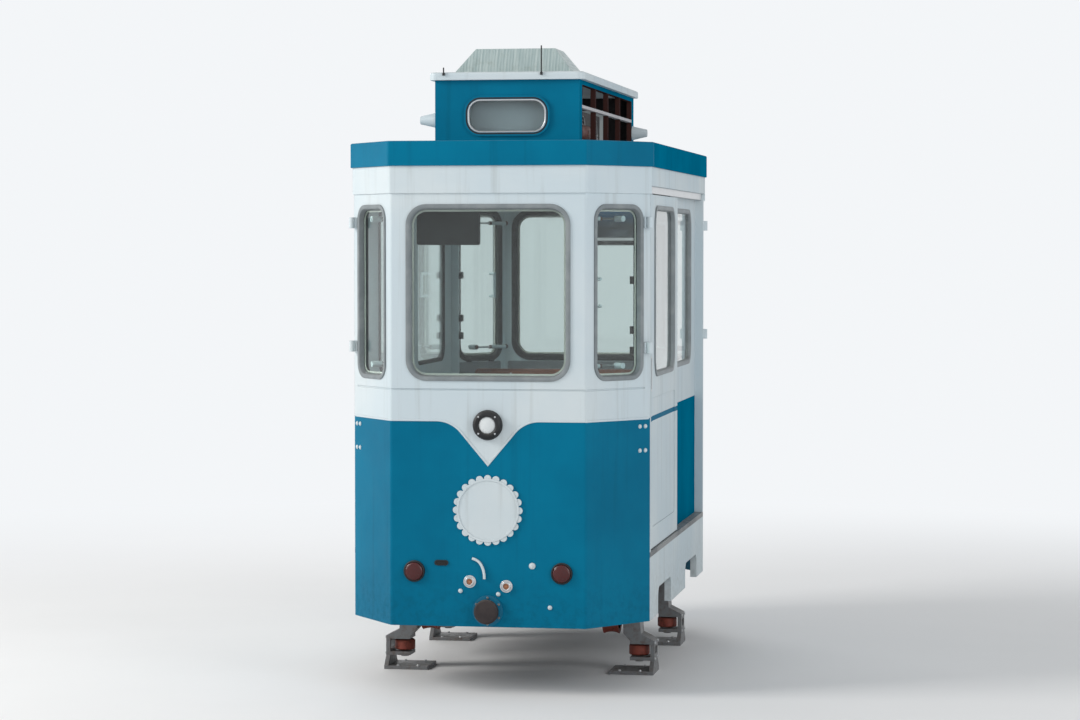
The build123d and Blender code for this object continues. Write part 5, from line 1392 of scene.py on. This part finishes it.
# Benches: round screw heads where the planks meet their brackets
BACK_Y, BACK_TOP, BACK_PITCH = 1.278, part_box("bench_planks")[1].z - 0.0775, 0.183
SEAT_Y, SEAT_TOP, SEAT_PITCH = 1.216, FLOOR_TOP + 0.425, 0.108
BRACKETS = (-0.41, 0.41)
SCREW = dome(0.0075, 0.0035, 14, 4)
heads = Mesh()
for end in ENDS:
    for x in BRACKETS:
        rows = [BACK_TOP - row * BACK_PITCH + dz for row in range(3) for dz in (-0.045, 0.045)]
        heads.fasten(SCREW, [(x, end * BACK_Y, z) for z in rows], -end * Y)
        rows = [SEAT_Y - row * SEAT_PITCH + dy for row in range(4) for dy in (-0.026, 0.026)]
        heads.fasten(SCREW, [(x, end * y, SEAT_TOP) for y in rows], Z, Y)
heads.piece("bench_screws", "car", "bright_steel", BRIGHT)

# Corner window gear: bright rods with red-brown collars and balls, and small black wedge catches
BALL_RADIUS = 0.015
BALL_ARC = [(BALL_RADIUS * math.cos(a), BALL_RADIUS * math.sin(a)) for a in np.linspace(-1.2, 1.2, 7)]
STRUT_BALL = [(0.0, -BALL_RADIUS), *BALL_ARC, (0.0, BALL_RADIUS)]
STRUT = [
    (0.0, 0.151), (0.0075, 0.151), (0.0075, 0.156), (0.0061, 0.158), (0.0061, 0.262), (0.0, 0.262),
]
STRUT_COLLAR = disc(0.0128, 0.138, 0.1505)
STRUT_LENGTH = 0.268
STRUT_FOOT, STRUT_OFF = 0.207, -0.038
STRUT_HEIGHTS = (SILL + 0.075, SILL + WINDOW_HEIGHT - 0.075)
CATCH_PLACES = (-0.10, 0.10)
WEDGE = np.array([(-0.020, -0.006), (0.020, -0.006), (0.014, 0.010), (-0.014, 0.010)])
rods, joints, wedges = Mesh(), Mesh(), Mesh()
for side in SIDES:
    for end in ENDS:
        face = corner_face(side, end, WALL + 0.0003)
        along = -side * end * face[1]
        for z in STRUT_HEIGHTS:
            foot = on_face(face, side * end * STRUT_FOOT, z, STRUT_OFF)
            rods.turn(STRUT, foot, along, 18)
            joints.turn(STRUT_COLLAR, foot, along, 18)
            joints.turn(STRUT_BALL, foot, Z, 18)
            joints.turn(STRUT_BALL, foot + STRUT_LENGTH * along, Z, 18)
        for u in CATCH_PLACES:
            spot = (on_face(face, u, SILL - 0.016), *inside_of(face)[1:])
            wedges.slab(WEDGE, spot, LINING_GAP, 0.0180)
rods.piece("strut_rods", "car", "bright_steel", BRIGHT)
joints.piece("strut_joints", "car", "bright_steel", OXIDE)
wedges.piece("window_catches", "car", "black_plastic", PLASTIC, bevel=0.0015)

# Door sills: ribbed bright plates
SILL_PLATE = (1.230, 0.044, 0.004)
SILL_RIB = (1.210, 0.004, 0.0015)
SILL_RIB_PLACES = (-0.015, -0.005, 0.005, 0.015)
SILL_X, SILL_Y = 0.775, -0.640
sills = Mesh()
for side in SIDES:
    face = (vec(side * SILL_X, side * SILL_Y, FLOOR_TOP), Y, -X, Z)
    sills.plate(face, (0.0, 0.0), SILL_PLATE, GAP, 0.0018)
    for v in SILL_RIB_PLACES:
        sills.plate(face, (0.0, v), SILL_RIB, 0.0016, 0.0030, arc=3)
sills.piece("sill_plates", "car", "bright_steel", BRIGHT)

# Door posts: black clips that hold the closed leaf
CLIP = np.array([(-0.016, -0.020), (0.016, -0.020), (0.016, 0.012), (0.004, 0.024), (-0.016, 0.024)])
CLIP_ACROSS = -1.293
CLIP_HEIGHTS = (1.640, 1.905, 2.020, 2.300)
clips = Mesh()
for side in SIDES:
    origin, across, up, outward = side_face(side, SIDE_INNER)
    for z in CLIP_HEIGHTS:
        clips.slab(CLIP + np.array([CLIP_ACROSS, z]), (origin, across, up, -outward), GAP, 0.0280)
clips.piece("door_clips", "car", "black_plastic", PLASTIC, bevel=0.002)

# Studio: pale floor, soft lamps and a camera at the photograph's viewing angle
CAMERA_PLACE = vec(3.03, -17.82, 2.49)
CAMERA_LENS = 99.0
AIM = vec(0.0, 0.0, 1.80)
BACKDROP = (0.90, 0.92, 0.94, 1)
WORLD_LIGHT = 0.5
LAMPS = [
    ("key", vec(-10.5, -5.5, 7.0), 5.0, 1080, (1.0, 0.98, 0.95)),
    ("fill", vec(8.5, -7.5, 5.0), 6.0, 330, (0.95, 0.98, 1.0)),
    ("back", vec(-4.0, 9.5, 7.0), 6.0, 330, (1.0, 1.0, 1.0)),
]


def floor_finish():
    """Near-white matt floor with a faint mottle that runs into the backdrop's colour far out."""
    tree = Finish("studio floor", Roughness=0.9, Specular_IOR_Level=0.2)
    place = tree.place()
    mottle = tree.noise(place, 0.8, 3.0)
    reach = tree.vector("LENGTH", {0: place}, "Value")
    even = tree.node("ShaderNodeEmission", {"Color": BACKDROP, "Strength": 1.0})
    tree.share(tree.ramp(reach, 3.0, 11.0), even)
    return tree.feed(Base_Color=tree.mix(mottle, (0.80, 0.80, 0.80, 1), (0.84, 0.84, 0.84, 1)))


def pale_floor():
    """Plain pale floor disc that carries the shadow: P(r, a) = r (cos a, sin a, 0)."""
    radius, rings, spokes = 60.0, 3, 64
    reach = np.linspace(0, radius, rings)[:, None, None]
    points = reach * ring_of(0 * Z, X, Y, 1.0, spokes)
    mesh = bpy.data.meshes.new("studio_floor")
    mesh.from_pydata(points.reshape(-1, 3).tolist(), [], grid_faces(rings, spokes, wrap_columns=True))
    mesh.materials.append(floor_finish())
    floor = bpy.data.objects.new("studio_floor", mesh)
    bpy.context.scene.collection.objects.link(floor)


def studio_world():
    """Even pale surroundings: dimmer as light than as background."""
    world = bpy.data.worlds.new("studio")
    bpy.context.scene.world = world
    world.use_nodes = True
    tree = Tree(world.node_tree)
    rays = tree.node("ShaderNodeLightPath").outputs
    seen = tree.math("MAXIMUM", rays["Is Camera Ray"], rays["Is Transmission Ray"])
    seen = tree.math("MAXIMUM", seen, rays["Is Glossy Ray"])
    background = world.node_tree.nodes["Background"]
    tree.put(BACKDROP, background.inputs["Color"])
    tree.put(tree.scaled(seen, 1.0 - WORLD_LIGHT, WORLD_LIGHT), background.inputs["Strength"])


def aimed(name, data, place):
    """Object at a place in the studio that looks at the car's middle."""
    obj = bpy.data.objects.new(name, data)
    bpy.context.scene.collection.objects.link(obj)
    obj.location = place
    obj.rotation_mode = "QUATERNION"
    obj.rotation_quaternion = Vector(place - AIM).to_track_quat("Z", "Y")
    return obj


def lamp(name, place, size, watts, colour):
    """Square soft lamp that faces the car."""
    data = bpy.data.lights.new(name, "AREA")
    data.shape = "SQUARE"
    data.size = size
    data.energy = watts
    data.color = colour
    aimed(name, data, place)


def camera():
    """Camera at the photograph's place beside the car."""
    data = bpy.data.cameras.new("camera")
    data.lens = CAMERA_LENS
    data.sensor_width = 36.0
    data.clip_start, data.clip_end = 0.5, 200.0
    bpy.context.scene.camera = aimed("camera", data, CAMERA_PLACE)


pale_floor()
studio_world()
for settings in LAMPS:
    lamp(*settings)
camera()
bpy.context.scene.view_settings.view_transform = "Standard"
